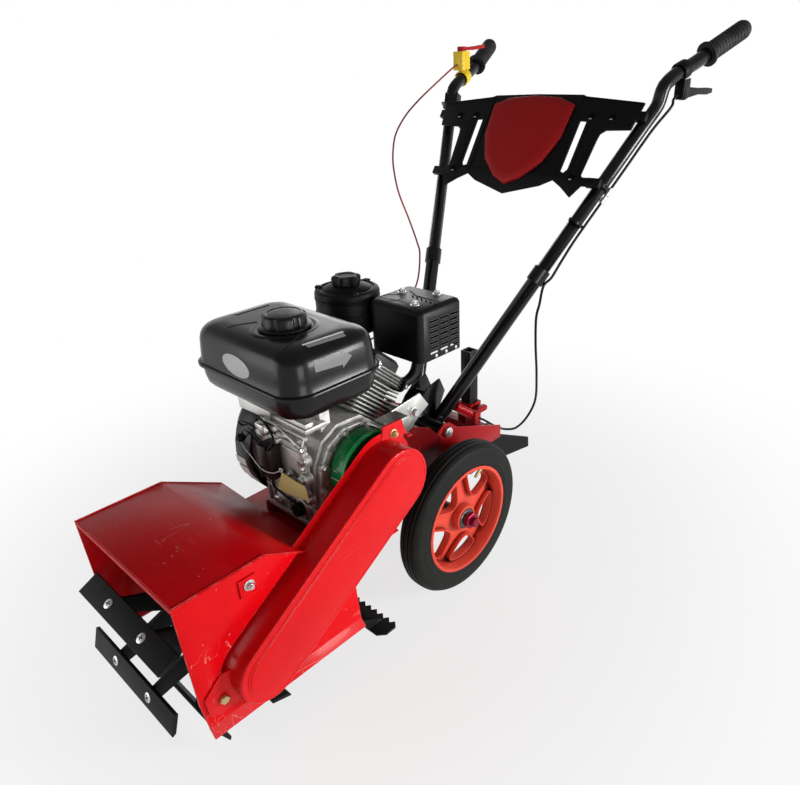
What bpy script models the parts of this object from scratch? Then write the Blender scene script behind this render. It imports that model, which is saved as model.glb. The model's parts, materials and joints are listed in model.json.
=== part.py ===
"""Petrol mini tiller: rotor hood, chain case, small engine, two wheels and a tilting handlebar.

+X is the chain-case side, -Y the rotor end, +Z up, and the floor is Z = 0. Lengths are in metres.
Y is counted from the wheel axle while the pieces are made, and MACHINE_Y then centres the machine.
"""
import math

import bmesh
import bpy
from mathutils import Matrix, Vector

for old in list(bpy.data.objects):
    bpy.data.objects.remove(old, do_unlink=True)

# Overall
MACHINE_Y = -0.02394
GAP = 0.0003
SHEET = 0.003

# Hood and side panels
HOOD_HALF = 0.145
HOOD_FRONT = -0.559
HOOD_TOP = 0.315
DECK_Z = 0.208
PANEL_BOTTOM = 0.0895
FLANGE_OUT = 0.011
FLANGE_DROP = 0.013

# Rotor
ROTOR_Y = -0.455
ROTOR_Z = 0.148
ROTOR_TIP = 0.148
BLADE_HALF = 0.124
BLADE_WIDTH = 0.036
BLADE_THICK = 0.006
BLADE_TILT = -33.0
BLADE_COUNT = 8
BLADE_FIRST = 150.0
STAR_X = 0.051
SHAFT_R = 0.0125

# Chain case
CASE_BACK = 0.128
CASE_FACE = 0.176
CASE_LOW_R = 0.052
CASE_TOP_R = 0.057

# Engine
CRANK_Y = -0.178
CRANK_Z = 0.325
CRANK_R = 0.0125
DRUM_R = 0.065
DRUM_X = 0.079
FAN_FLOOR = 0.228
TANK_Y = -0.238
TANK_SEAM = 0.505
TANK_HALF_X = 0.133
TANK_HALF_Y = 0.0945
TANK_TOP = 0.570
TANK_LOW = 0.461
CLEANER_X = -0.101
CLEANER_Y = -0.023
CLEANER_Z = 0.478
CLEANER_R = 0.060
CYL_ANGLE = 50.0

# Running gear
WHEEL_R = 0.150
TYRE_WIDTH = 0.044
TRACK_HALF = 0.1435
RIM_R = WHEEL_R - 0.0434
AXLE_R = 0.008

# Fan side: the starter passes the left tyre by 2 mm
STARTER_R = 0.0975
FAN_R = STARTER_R + 0.0155

# Handlebar
TUBE_R = 0.0125
TUBE_LEAN_X = 0.3812
TUBE_LEAN_Y = 0.6803
TUBE_X0 = -0.0792
TUBE_Y0 = -0.1283
COLLAR_Z = (0.540, 0.563)
PIVOT_Y = 0.036
PIVOT_Z = 0.294
GRIP_R = 0.0175
GRIP_BORE = 0.0132

ZERO = Vector((0.0, 0.0, 0.0))
SHIFT = Vector((0.0, MACHINE_Y, 0.0))
AXES = {"X": Vector((1, 0, 0)), "Y": Vector((0, 1, 0)), "Z": Vector((0, 0, 1))}
COATS = {
    "red_paint": (0.62, 0.02, 0.02, 1.0, 0.0, 0.35),
    "black_paint": (0.015, 0.015, 0.016, 1.0, 0.0, 0.4),
    "black_steel": (0.03, 0.03, 0.032, 1.0, 0.4, 0.45),
    "bright_steel": (0.6, 0.6, 0.6, 1.0, 1.0, 0.3),
    "cast_alloy": (0.55, 0.55, 0.54, 1.0, 1.0, 0.45),
    "green_paint": (0.01, 0.2, 0.05, 1.0, 0.0, 0.35),
    "black_plastic": (0.02, 0.02, 0.021, 1.0, 0.0, 0.45),
    "yellow_plastic": (0.75, 0.45, 0.02, 1.0, 0.0, 0.4),
    "red_plastic": (0.55, 0.03, 0.02, 1.0, 0.0, 0.4),
    "rim_paint": (0.85, 0.1, 0.04, 1.0, 0.0, 0.4),
    "tyre_rubber": (0.025, 0.025, 0.025, 1.0, 0.0, 0.8),
    "grip_rubber": (0.02, 0.02, 0.02, 1.0, 0.0, 0.7),
}


def coat(name):
    """The Principled material of one finish, made once."""
    found = bpy.data.materials.get(name)
    if found:
        return found
    red, green, blue, alpha, metal, rough = COATS[name]
    made = bpy.data.materials.new(name)
    made.use_nodes = True
    shader = made.node_tree.nodes["Principled BSDF"]
    shader.inputs["Base Color"].default_value = (red, green, blue, alpha)
    shader.inputs["Metallic"].default_value = metal
    shader.inputs["Roughness"].default_value = rough
    return made


def link(obj, finish, origin):
    """Put an object into the scene with its finish, at its origin."""
    obj.location = Vector(origin) + SHIFT
    obj.data.materials.append(coat(finish))
    bpy.context.scene.collection.objects.link(obj)
    return obj


def make(name, bm, finish, origin=ZERO, smooth=None):
    """Turn a bmesh into a named object whose origin is the given point."""
    bmesh.ops.remove_doubles(bm, verts=bm.verts, dist=1e-6)
    bmesh.ops.recalc_face_normals(bm, faces=bm.faces)
    bmesh.ops.translate(bm, verts=bm.verts, vec=-Vector(origin))
    mesh = bpy.data.meshes.new(name)
    bm.to_mesh(mesh)
    bm.free()
    if smooth is not None:
        mesh.shade_smooth()
        mesh.set_sharp_from_angle(angle=math.radians(smooth))
    return link(bpy.data.objects.new(name, mesh), finish, origin)


def helper(name, bm):
    """A body that only shapes another one."""
    obj = make(name, bm, "bright_steel")
    obj.hide_render = True
    obj.display_type = "WIRE"
    return obj


def combine(obj, operation, *others):
    """Add exact boolean modifiers with the other bodies."""
    for number, other in enumerate(others):
        modifier = obj.modifiers.new(f"{operation.lower()}_{other.name}", "BOOLEAN")
        modifier.operation = operation
        modifier.solver = "EXACT"
        modifier.object = other
    return obj


def bevel(obj, width, segments=2, angle=30.0):
    modifier = obj.modifiers.new("edges", "BEVEL")
    modifier.width = width
    modifier.segments = segments
    modifier.limit_method = "ANGLE"
    modifier.angle_limit = math.radians(angle)
    return obj


def spot(axis, along, u, v):
    """A point from its place along an axis and on the two others."""
    if axis == "X":
        return Vector((along, u, v))
    if axis == "Y":
        return Vector((u, along, v))
    return Vector((u, v, along))


def loft(bm, rings):
    """Skin closed rings of equal count and cap both ends."""
    rows = [[bm.verts.new(point) for point in ring] for ring in rings]
    count = len(rows[0])
    for low, high in zip(rows, rows[1:]):
        for i in range(count):
            j = (i + 1) % count
            bm.faces.new((low[i], low[j], high[j], high[i]))
    bm.faces.new(rows[0])
    bm.faces.new(rows[-1])
    return bm


def prism(outline, axis, low, high, bm=None):
    """Extrude an outline along an axis."""
    bm = bm or bmesh.new()
    return loft(bm, [[spot(axis, low, u, v) for u, v in outline],
                     [spot(axis, high, u, v) for u, v in outline]])


def block(low, high, bm=None):
    outline = [(low[1], low[2]), (high[1], low[2]), (high[1], high[2]), (low[1], high[2])]
    return prism(outline, "X", low[0], high[0], bm)


def rounded(cu, cv, half_u, half_v, radius, steps=5):
    """A rectangle outline with round corners."""
    points = []
    for quarter, (su, sv) in enumerate(((1, 1), (-1, 1), (-1, -1), (1, -1))):
        for k in range(steps + 1):
            angle = math.radians(90 * quarter + 90 * k / steps)
            points.append((cu + su * (half_u - radius) + radius * math.cos(angle),
                           cv + sv * (half_v - radius) + radius * math.sin(angle)))
    return points


def circle(cu, cv, radius, steps=32, start=0.0):
    return [(cu + radius * math.cos(start + math.tau * k / steps),
             cv + radius * math.sin(start + math.tau * k / steps)) for k in range(steps)]


def capsule(low, low_r, high, high_r, steps=14):
    """The outline round two circles and their common tangents."""
    a, b = Vector(low), Vector(high)
    run = b - a
    lean = math.acos((low_r - high_r) / run.length)
    base = math.atan2(run.y, run.x)
    points = []
    for centre, radius, start, sweep in ((a, low_r, base + lean, math.tau - 2 * lean),
                                         (b, high_r, base - lean, 2 * lean)):
        for k in range(steps + 1):
            angle = start + sweep * k / steps
            points.append((centre.x + radius * math.cos(angle), centre.y + radius * math.sin(angle)))
    return points


def turned(profile, axis, centre, steps=40, bm=None):
    """Turn a closed profile of (place along the axis, radius) about an axis."""
    bm = bm or bmesh.new()
    rings = []
    for along, radius in profile:
        if radius < 1e-7:
            rings.append([bm.verts.new(spot(axis, along, *centre))])
        else:
            rings.append([bm.verts.new(spot(axis, along, u, v))
                          for u, v in circle(centre[0], centre[1], radius, steps)])
    for low, high in zip(rings, rings[1:] + rings[:1]):
        if len(low) == 1 and len(high) == 1:
            continue
        for i in range(steps):
            j = (i + 1) % steps
            corners = (low[0], high[j], high[i]) if len(low) == 1 else (
                (low[i], low[j], high[0]) if len(high) == 1 else (low[i], low[j], high[j], high[i]))
            bm.faces.new(corners)
    return bm


def disc(axis, centre, radius, low, high, steps=32, bm=None):
    return turned([(low, 0.0), (low, radius), (high, radius), (high, 0.0)], axis, centre, steps, bm)


def rod(start, end, radius, steps=16, bm=None):
    """A straight round bar between two points."""
    bm = bm or bmesh.new()
    start, end = Vector(start), Vector(end)
    turn = (end - start).to_track_quat("Z", "Y").to_matrix()
    ring = [turn @ Vector((radius * math.cos(math.tau * k / steps), radius * math.sin(math.tau * k / steps), 0))
            for k in range(steps)]
    return loft(bm, [[start + p for p in ring], [end + p for p in ring]])


def strip(points, thick):
    """The outline of bent sheet whose top runs through the points."""
    lower = []
    for i, point in enumerate(points):
        here = Vector(point)
        before = (here - Vector(points[i - 1])).normalized() if i else None
        after = (Vector(points[i + 1]) - here).normalized() if i + 1 < len(points) else None
        before = before or after
        after = after or before
        side = (Vector((before.y, -before.x)) + Vector((after.y, -after.x))).normalized()
        lower.append(tuple(here + side * thick / max(0.5, side.dot(Vector((after.y, -after.x))))))
    return list(points) + lower[::-1]


def smooth_path(points, count):
    """A smooth run of points through the given ones (Catmull-Rom)."""
    knots = [Vector(p) for p in points]
    knots = [knots[0] * 2 - knots[1]] + knots + [knots[-1] * 2 - knots[-2]]
    spans = len(knots) - 3
    path = []
    for k in range(count + 1):
        place = min(k * spans / count, spans - 1e-9)
        i, t = int(place), place - int(place)
        a, b, c, d = knots[i:i + 4]
        path.append(0.5 * ((2 * b) + (c - a) * t + (2 * a - 5 * b + 4 * c - d) * t * t
                           + (3 * b - a - 3 * c + d) * t ** 3))
    return path


def swept(bm, path, radii, steps=18):
    """A closed round bar whose radius follows a list, along a path."""
    rings = []
    side = None
    for i, place in enumerate(path):
        run = (path[min(i + 1, len(path) - 1)] - path[max(i - 1, 0)]).normalized()
        side = (side - run * side.dot(run)).normalized() if side else run.orthogonal().normalized()
        over = run.cross(side)
        rings.append([place + (side * math.cos(math.tau * k / steps)
                               + over * math.sin(math.tau * k / steps)) * radii[i] for k in range(steps)])
    return loft(bm, rings)


def tube(name, path, radius, finish, origin=ZERO, resolution=2):
    """A round tube or cord as a curve with filled ends."""
    curve = bpy.data.curves.new(name, "CURVE")
    curve.dimensions = "3D"
    curve.bevel_depth = radius
    curve.bevel_resolution = resolution
    curve.use_fill_caps = True
    curve.render_resolution_u = 0
    spline = curve.splines.new("POLY")
    spline.points.add(len(path) - 1)
    for point, place in zip(spline.points, path):
        point.co = (*(Vector(place) - Vector(origin)), 1.0)
    return link(bpy.data.objects.new(name, curve), finish, origin)


# Hood: one bent sheet from the front lip back to the deck under the engine
hood_line = [(HOOD_FRONT, HOOD_TOP), (-0.419, HOOD_TOP), (-0.317, 0.262), (-0.278, DECK_Z), (-0.160, DECK_Z)]
inner = HOOD_HALF - SHEET - GAP
hood = make("hood", prism(strip(hood_line, SHEET), "X", -inner, inner), "red_paint")

# Side panels with a flared lower flange; the right one is slotted round the chain case
panel_line = [(HOOD_FRONT, HOOD_TOP), (-0.419, HOOD_TOP), (-0.317, 0.262), (-0.278, DECK_Z),
              (-0.266, 0.154), (-0.262, PANEL_BOTTOM - 0.003), (-0.549, PANEL_BOTTOM), (-0.555, 0.142)]


def side_panel(name, side):
    inside, outside = side * (HOOD_HALF - SHEET), side * HOOD_HALF
    panel = make(name, prism(panel_line, "X", min(inside, outside), max(inside, outside)), "red_paint")
    root = [(inside, PANEL_BOTTOM + 0.002), (outside, PANEL_BOTTOM + 0.002),
            (outside, PANEL_BOTTOM), (outside + side * FLANGE_OUT, PANEL_BOTTOM - FLANGE_DROP),
            (outside + side * (FLANGE_OUT - 0.0025), PANEL_BOTTOM - FLANGE_DROP - 0.0015),
            (inside, PANEL_BOTTOM - 0.003)]
    bm = loft(bmesh.new(), [[Vector((x, -0.549, z)) for x, z in root],
                            [Vector((x, -0.262, z - 0.003)) for x, z in root]])
    return combine(panel, "UNION", helper("flange_of_" + name, bm))


case_low = (ROTOR_Y, ROTOR_Z)
case_top = (CRANK_Y, CRANK_Z)
right_panel = side_panel("side_panel_r", 1)
left_panel = side_panel("side_panel_l", -1)
slot_low = (ROTOR_Y - 0.003, ROTOR_Z + 0.005)
slot_top = (CRANK_Y - 0.003, CRANK_Z + 0.005)
case_slot = helper("case_slot", prism(capsule(slot_low, CASE_LOW_R + 0.009, slot_top, CASE_TOP_R + 0.009), "X",
                                      CASE_BACK - 0.006, HOOD_HALF + 0.02))
combine(right_panel, "DIFFERENCE", case_slot)
combine(hood, "DIFFERENCE",
        helper("hood_slot", prism(capsule(case_low, CASE_LOW_R + 0.002, case_top, CASE_TOP_R + 0.002), "X",
                                  CASE_BACK - 0.006, HOOD_HALF + 0.02)))
combine(left_panel, "DIFFERENCE",
        helper("shaft_hole_l", disc("X", case_low, SHAFT_R + GAP, -HOOD_HALF - 0.01, -HOOD_HALF + 0.02)))

# Rotor: shaft with two welded stars and eight bolted, tilted blades
rotor_origin = (0.0, ROTOR_Y, ROTOR_Z)
lean = math.radians(BLADE_TILT)
blade_r = ROTOR_TIP - 0.5 * BLADE_WIDTH * abs(math.sin(lean)) - 0.5 * BLADE_THICK
star_outline = []
for number in range(BLADE_COUNT):
    angle = math.radians(BLADE_FIRST + 360.0 / BLADE_COUNT * number)
    out = Vector((0, math.cos(angle), math.sin(angle)))
    across = Vector((0, -math.sin(angle), math.cos(angle)))
    flat = across * math.cos(lean) - out * math.sin(lean)
    up = out * math.cos(lean) + across * math.sin(lean)
    middle = Vector(rotor_origin) + out * blade_r
    half = BLADE_WIDTH / 2
    section = [middle + flat * u + up * v for u, v in (
        (-half, -BLADE_THICK / 2), (half - 0.004, -BLADE_THICK / 2), (half, BLADE_THICK / 2 - 0.002),
        (half, BLADE_THICK / 2), (-half, BLADE_THICK / 2))]
    end = Vector((BLADE_HALF, 0, 0))
    make(f"blade_{number + 1}", loft(bmesh.new(), [[p - end for p in section], [p + end for p in section]]),
         "black_steel", rotor_origin)
    seat = middle - up * (BLADE_THICK / 2 + GAP)
    valley = angle - math.pi / BLADE_COUNT
    star_outline.append((ROTOR_Y + 0.045 * math.cos(valley), ROTOR_Z + 0.045 * math.sin(valley)))
    star_outline += [(p.y, p.z) for p in (seat - flat * 0.013, seat + flat * 0.013)]
rotor_shaft = make("rotor_shaft", disc("X", case_low, SHAFT_R, -HOOD_HALF - 0.004, CASE_FACE - 0.012, 24),
                   "black_steel", rotor_origin, 40)
combine(rotor_shaft, "UNION",
        helper("star_r", prism(star_outline, "X", STAR_X - 0.004, STAR_X + 0.004)),
        helper("star_l", prism(star_outline, "X", -STAR_X - 0.004, -STAR_X + 0.004)))


def toothed(centre, radius, teeth, depth=0.003):
    """A sprocket outline."""
    points = []
    for tooth in range(teeth):
        for part, reach in ((0.0, radius - depth), (0.3, radius - depth), (0.45, radius), (0.85, radius)):
            angle = math.tau * (tooth + part) / teeth
            points.append((centre[0] + reach * math.cos(angle), centre[1] + reach * math.sin(angle)))
    return points


# Chain case: a deep shell through the panel slot, its embossed cover, the chain and two sprockets
CHAIN_X = (0.148, 0.156)
SPROCKET_LOW_R = 0.040
SPROCKET_TOP_R = 0.016
case = make("chain_case", prism(capsule(case_low, CASE_LOW_R, case_top, CASE_TOP_R), "X",
                                CASE_BACK, CASE_FACE - 0.0025), "red_paint")
ear = [(-0.548, 0.146), (-0.518, 0.172), (-0.470, 0.165), (-0.470, 0.112), (-0.530, 0.104), (-0.546, 0.116)]
tab = [(-0.172, 0.372), (-0.168, 0.404), (-0.126, 0.402), (-0.118, 0.376), (-0.140, 0.360)]
combine(case, "UNION",
        helper("case_ear", prism(ear, "X", HOOD_HALF + GAP, HOOD_HALF + 0.0033)),
        helper("case_tab", prism(tab, "X", CASE_BACK - 0.003, CASE_BACK + 0.0005)))
combine(case, "DIFFERENCE",
        helper("case_room", prism(capsule(case_low, CASE_LOW_R - 0.003, case_top, CASE_TOP_R - 0.003), "X",
                                  CASE_BACK + 0.003, CASE_FACE + 0.01)),
        helper("case_holes", disc("X", case_low, SHAFT_R + 0.0005, CASE_BACK - 0.01, CASE_BACK + 0.01)),
        helper("case_crank", disc("X", case_top, CRANK_R + 0.0005, CASE_BACK - 0.01, CASE_BACK + 0.01)))
cover = bmesh.new()
loft(cover, [[Vector((x, y, z)) for y, z in capsule(case_low, CASE_LOW_R - inset, case_top, CASE_TOP_R - inset)]
             for x, inset in ((CASE_FACE - 0.0022, 0.0), (CASE_FACE - 0.001, 0.0), (CASE_FACE, 0.0012),
                              (CASE_FACE, 0.0125), (CASE_FACE + 0.0025, 0.0155))])
make("chain_cover", cover, "red_paint", smooth=40)
chain = make("drive_chain", prism(capsule(case_low, SPROCKET_LOW_R + 0.0063, case_top, SPROCKET_TOP_R + 0.0063),
                                  "X", *CHAIN_X), "black_steel")
combine(chain, "DIFFERENCE",
        helper("chain_loop", prism(capsule(case_low, SPROCKET_LOW_R + GAP, case_top, SPROCKET_TOP_R + GAP),
                                   "X", CHAIN_X[0] - 0.01, CHAIN_X[1] + 0.01)))
sprocket = make("rotor_sprocket", prism(toothed(case_low, SPROCKET_LOW_R, 20), "X", CHAIN_X[0] + 0.001,
                                        CHAIN_X[1] - 0.001), "black_steel", rotor_origin)
combine(sprocket, "DIFFERENCE",
        helper("sprocket_bore", disc("X", case_low, SHAFT_R + GAP, CHAIN_X[0] - 0.01, CHAIN_X[1] + 0.01, 24)))

# Frame: two rails, cross members, side plates with ears and axle holes, and the stake sleeve
RAIL_IN, RAIL_OUT = 0.062, 0.082
RAIL_LOW, RAIL_TOP = DECK_Z + GAP, DECK_Z + 0.0183
FRAME_REAR = 0.207
STAKE_Y = 0.205
STAKE_HALF = 0.0125
SLEEVE_TOP = 0.268
BOLT_Z = SLEEVE_TOP - 0.010
frame = make("frame", block((-RAIL_OUT, -0.262, RAIL_LOW), (RAIL_OUT, -0.242, RAIL_TOP)), "red_paint")
sleeve = STAKE_HALF + 0.005
pieces = []
for side in (-1, 1):
    low_x, high_x = sorted((side * RAIL_IN, side * RAIL_OUT))
    pieces.append(helper(f"rail_{side}", block((low_x, -0.270, RAIL_LOW), (high_x, FRAME_REAR, RAIL_TOP))))
    low_x, high_x = sorted((side * (RAIL_OUT - 0.003), side * RAIL_OUT))
    plate = [(-0.030, RAIL_TOP - 0.002), (-0.012, 0.262), (PIVOT_Y - 0.020, PIVOT_Z + 0.010),
             (PIVOT_Y - 0.006, PIVOT_Z + 0.018), (PIVOT_Y + 0.010, PIVOT_Z + 0.014), (0.068, 0.290),
             (FRAME_REAR, 0.236), (FRAME_REAR, RAIL_LOW), (0.035, RAIL_LOW), (0.018, WHEEL_R - 0.018),
             (-0.018, WHEEL_R - 0.018), (-0.035, RAIL_LOW)]
    pieces.append(helper(f"side_plate_{side}", prism(plate, "X", low_x, high_x)))
pieces.append(helper("member_mid", block((-RAIL_OUT, -0.060, RAIL_LOW), (RAIL_OUT, -0.040, RAIL_TOP))))
pieces.append(helper("member_rear", block((-RAIL_OUT, 0.180, RAIL_LOW), (RAIL_OUT, FRAME_REAR, RAIL_TOP))))
pieces.append(helper("member_back", block((-RAIL_OUT, -0.030, RAIL_LOW), (RAIL_OUT, -0.027, 0.262))))
pieces.append(helper("sleeve", block((-sleeve, STAKE_Y - sleeve, RAIL_LOW), (sleeve, STAKE_Y + sleeve, SLEEVE_TOP))))
pieces.append(helper("stop_tab", block((0.018, 0.170, RAIL_LOW + 0.002), (0.044, 0.181, 0.266))))
pieces.append(helper("stop_foot", block((0.018, 0.170, RAIL_LOW + 0.002), (0.070, 0.181, RAIL_TOP))))
stop_low = Vector((0.0330, 0.1785, 0.2532))
stop_run = Vector((-0.0075, -0.0268, 0.0220)).normalized()
pieces.append(helper("cable_stop", rod(stop_low - stop_run * 0.0046, stop_low + stop_run * 0.020, 0.004, 16)))
pieces.append(helper("cable_tube", rod(stop_low + stop_run * 0.004, stop_low + stop_run * 0.058, 0.010, 20)))
combine(frame, "UNION", *pieces)
room = STAKE_HALF + GAP
combine(frame, "DIFFERENCE",
        helper("axle_holes", disc("X", (0, WHEEL_R), AXLE_R + GAP, -0.1, 0.1, 24)),
        helper("pivot_holes", disc("X", (PIVOT_Y, PIVOT_Z), 0.0063, -0.1, 0.1, 20)),
        helper("stake_room", block((-room, STAKE_Y - room, 0.1), (room, STAKE_Y + room, 0.4))),
        helper("bolt_hole", disc("X", (STAKE_Y, BOLT_Z), 0.0053, 0.01, 0.06, 16)))

# Serrated drag bar on two arms behind the panels
teeth_line = [(-0.166, -0.245), (0.160, -0.245), (0.172, -0.232)]
count = 22
for tooth in range(count):
    x = 0.172 - tooth * 0.338 / count
    teeth_line += [(x, -0.210), (x - 0.009, -0.202)]
teeth_line.append((-0.166, -0.210))
drag = make("drag_bar", prism(teeth_line, "Z", 0.040, 0.044), "black_steel")
arms = []
for side in (-1, 1):
    low_x, high_x = sorted((side * (HOOD_HALF - SHEET - GAP), side * (HOOD_HALF - SHEET - GAP - 0.003)))
    arms.append(helper(f"drag_arm_{side}", prism(
        [(-0.300, 0.100), (-0.285, 0.128), (-0.258, 0.070), (-0.212, 0.0435), (-0.212, 0.0405), (-0.240, 0.0405)],
        "X", low_x, high_x)))
combine(drag, "UNION", *arms)

# Engine block and covers
CYL_RUN = Vector((math.cos(math.radians(CYL_ANGLE)), math.sin(math.radians(CYL_ANGLE))))
CYL_SIDE = Vector((-CYL_RUN.y, CYL_RUN.x))
CASE_IN, CASE_OUT = -0.072, 0.060
ENGINE_BASE = RAIL_TOP + GAP


def cyl(along, across):
    """A point of the side view in the slanted cylinder's own directions."""
    return Vector((CRANK_Y, CRANK_Z)) + CYL_RUN * along + CYL_SIDE * across


block_line = [(-0.265, ENGINE_BASE), (-0.265, 0.300), (-0.258, 0.350), (-0.238, 0.385), (-0.205, 0.402),
              tuple(cyl(0.072, 0.030)), tuple(cyl(0.072, -0.038)), (-0.083, 0.320), (-0.078, ENGINE_BASE)]
crankcase = make("crankcase", prism(block_line, "X", CASE_IN, CASE_OUT), "cast_alloy")
posts = [helper(f"tank_post_{side}", block((x - 0.006, -0.226, 0.380), (x + 0.006, -0.206, TANK_LOW - GAP)))
         for side, x in (("l", -0.050), ("r", 0.040))]
combine(crankcase, "UNION", *posts)
combine(crankcase, "DIFFERENCE", helper("crank_bore", disc("X", case_top, CRANK_R + GAP, -0.2, 0.2, 24)))
middle = Vector((-0.176, 0.312))
side_line = [tuple(middle + (Vector(p) - middle) * 0.93) for p in block_line]
side_cover = make("side_cover", prism(side_line, "X", CASE_OUT + GAP, CASE_OUT + 0.009), "cast_alloy")
combine(side_cover, "UNION", helper("shaft_boss", disc("X", case_top, 0.030, CASE_OUT + 0.004, DRUM_X - 0.002)))
combine(side_cover, "DIFFERENCE", helper("boss_bore", disc("X", case_top, CRANK_R + GAP, 0.0, 0.2, 24)))


def cyl_ring(along, half_across, half_x, radius):
    ring = []
    for x, n in rounded(0.0, 0.0, half_x, half_across, radius, 2):
        place = cyl(along, n)
        ring.append(Vector((x + 0.002, place.x, place.y)))
    return ring


fins = []
FIN_COUNT = 9
for number in range(FIN_COUNT):
    along = 0.0745 + number * 0.0072
    fins += [cyl_ring(along, 0.037, 0.040, 0.012), cyl_ring(along + 0.0002, 0.049, 0.055, 0.010),
             cyl_ring(along + 0.0025, 0.049, 0.055, 0.010), cyl_ring(along + 0.0027, 0.037, 0.040, 0.012)]
fins += [cyl_ring(0.1400, 0.037, 0.040, 0.012), cyl_ring(0.1402, 0.045, 0.050, 0.010),
         cyl_ring(0.1620, 0.045, 0.050, 0.010)]
base = [cyl_ring(0.0723, 0.037, 0.040, 0.012)]
make("cylinder", loft(bmesh.new(), base + fins), "cast_alloy")
make("rocker_cover", loft(bmesh.new(), [cyl_ring(0.1623, 0.036, 0.041, 0.012), cyl_ring(0.178, 0.036, 0.041, 0.012),
                                        cyl_ring(0.184, 0.030, 0.035, 0.010)]), "cast_alloy", smooth=40)

# Fan side: flywheel, blower housing with a flat foot, recoil starter with its rope and grip
make("flywheel", turned([(-0.118, CRANK_R + GAP), (-0.118, 0.030), (-0.106, 0.032), (-0.106, 0.078),
                         (-0.116, 0.082), (-0.116, 0.098), (-0.085, 0.098), (-0.085, CRANK_R + GAP)],
                        "X", case_top, 24), "cast_alloy", (0.0, CRANK_Y, CRANK_Z), 40)
FAN_FACE = -0.1245
blower = make("blower_housing", turned([(FAN_FACE, 0.022), (FAN_FACE, FAN_R - 0.008), (FAN_FACE + 0.008, FAN_R),
                                        (CASE_IN - GAP, FAN_R), (CASE_IN - GAP, 0.0), (FAN_FACE, 0.0)],
                                       "X", case_top, 32), "black_plastic", smooth=40)
room_r = FAN_R - 0.002
combine(blower, "DIFFERENCE",
        helper("fan_floor", block((-0.2, -0.4, 0.1), (0.0, 0.0, FAN_FLOOR))),
        helper("fan_hole", disc("X", case_top, 0.022, FAN_FACE - 0.01, FAN_FACE + 0.01, 24)))
fan_room = helper("fan_room", turned([(FAN_FACE + 0.002, 0.0), (FAN_FACE + 0.002, room_r - 0.008),
                                      (FAN_FACE + 0.010, room_r), (0.0, room_r), (0.0, 0.0)], "X", case_top, 32))
combine(fan_room, "DIFFERENCE", helper("room_floor", block((-0.2, -0.4, 0.1), (0.1, 0.0, FAN_FLOOR - 0.001))))
combine(blower, "DIFFERENCE", fan_room)
make("recoil_starter", turned([(FAN_FACE - GAP, 0.0), (FAN_FACE - GAP, STARTER_R), (-0.138, STARTER_R - 0.001),
                               (-0.152, STARTER_R - 0.010), (-0.161, 0.072), (-0.164, 0.040), (-0.164, 0.0)],
                              "X", case_top, 40), "black_plastic", smooth=40)
ROPE_X = -0.152
rope_low = CRANK_Z + STARTER_R - 0.010 + 0.0016 + GAP
grip_low = CRANK_Z + STARTER_R - 0.0022
make("starter_rope", disc("Z", (ROPE_X, CRANK_Y), 0.002, rope_low, grip_low - GAP, 10), "black_plastic")
make("recoil_grip", prism(rounded(ROPE_X, CRANK_Y, 0.0065, 0.022, 0.005, 3), "Z", grip_low, grip_low + 0.0137),
     "black_plastic")

# Crank line: shaft with its sprocket, and the green clutch drum
crank_origin = (0.0, CRANK_Y, CRANK_Z)
crankshaft = make("crankshaft", disc("X", case_top, CRANK_R, -0.116, CASE_FACE - 0.016, 24), "bright_steel",
                  crank_origin, 40)
combine(crankshaft, "UNION", helper("drive_sprocket", prism(toothed(case_top, SPROCKET_TOP_R, 8, 0.002), "X",
                                                            CHAIN_X[0] + 0.001, CHAIN_X[1] - 0.001)))
drum_end = DRUM_X + 0.032
make("clutch_drum", turned([(DRUM_X, CRANK_R + GAP), (DRUM_X, DRUM_R - 0.001), (DRUM_X + 0.001, DRUM_R),
                            (drum_end - 0.006, DRUM_R), (drum_end - 0.005, DRUM_R + 0.0), (drum_end, DRUM_R),
                            (drum_end, DRUM_R - 0.004), (drum_end - 0.008, DRUM_R - 0.008),
                            (drum_end - 0.008, CRANK_R + GAP)], "X", case_top, 36), "green_paint",
     crank_origin, 40)


def flat_rings(outline_sizes, centre, z_list):
    return [[Vector((x, y, z)) for x, y in rounded(centre[0], centre[1], hx, hy, r, 5)]
            for (hx, hy, r), z in zip(outline_sizes, z_list)]


# Fuel tank with the lip of its seam, cap
tank_mid = (-0.004, TANK_Y)
hx, hy = TANK_HALF_X, TANK_HALF_Y
make("tank", loft(bmesh.new(), flat_rings(
    [(hx - 0.030, hy - 0.030, 0.030), (hx - 0.014, hy - 0.014, 0.034), (hx - 0.006, hy - 0.006, 0.038),
     (hx - 0.005, hy - 0.005, 0.038), (hx, hy, 0.041), (hx, hy, 0.041), (hx - 0.004, hy - 0.004, 0.038),
     (hx - 0.006, hy - 0.006, 0.036), (hx - 0.010, hy - 0.010, 0.034), (hx - 0.020, hy - 0.020, 0.028),
     (hx - 0.040, hy - 0.040, 0.022)], tank_mid,
    [TANK_LOW, TANK_LOW + 0.004, TANK_LOW + 0.014, TANK_SEAM - 0.004, TANK_SEAM - 0.0035, TANK_SEAM + 0.0025,
     TANK_SEAM + 0.003, TANK_TOP - 0.022, TANK_TOP - 0.010, TANK_TOP - 0.003, TANK_TOP])),
    "black_paint", smooth=35)
CAP_X, CAP_Y, CAP_R = 0.016, -0.247, 0.040
cap = turned([(TANK_TOP + GAP, 0.0), (TANK_TOP + GAP, CAP_R - 0.001), (TANK_TOP + 0.0015, CAP_R),
              (TANK_TOP + 0.020, CAP_R - 0.001), (TANK_TOP + 0.024, CAP_R - 0.005), (TANK_TOP + 0.026, 0.017),
              (TANK_TOP + 0.026, 0.0)], "Z", (CAP_X, CAP_Y), 36)
make("fuel_cap", cap, "black_plastic", (CAP_X, CAP_Y, TANK_TOP), 40)

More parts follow.
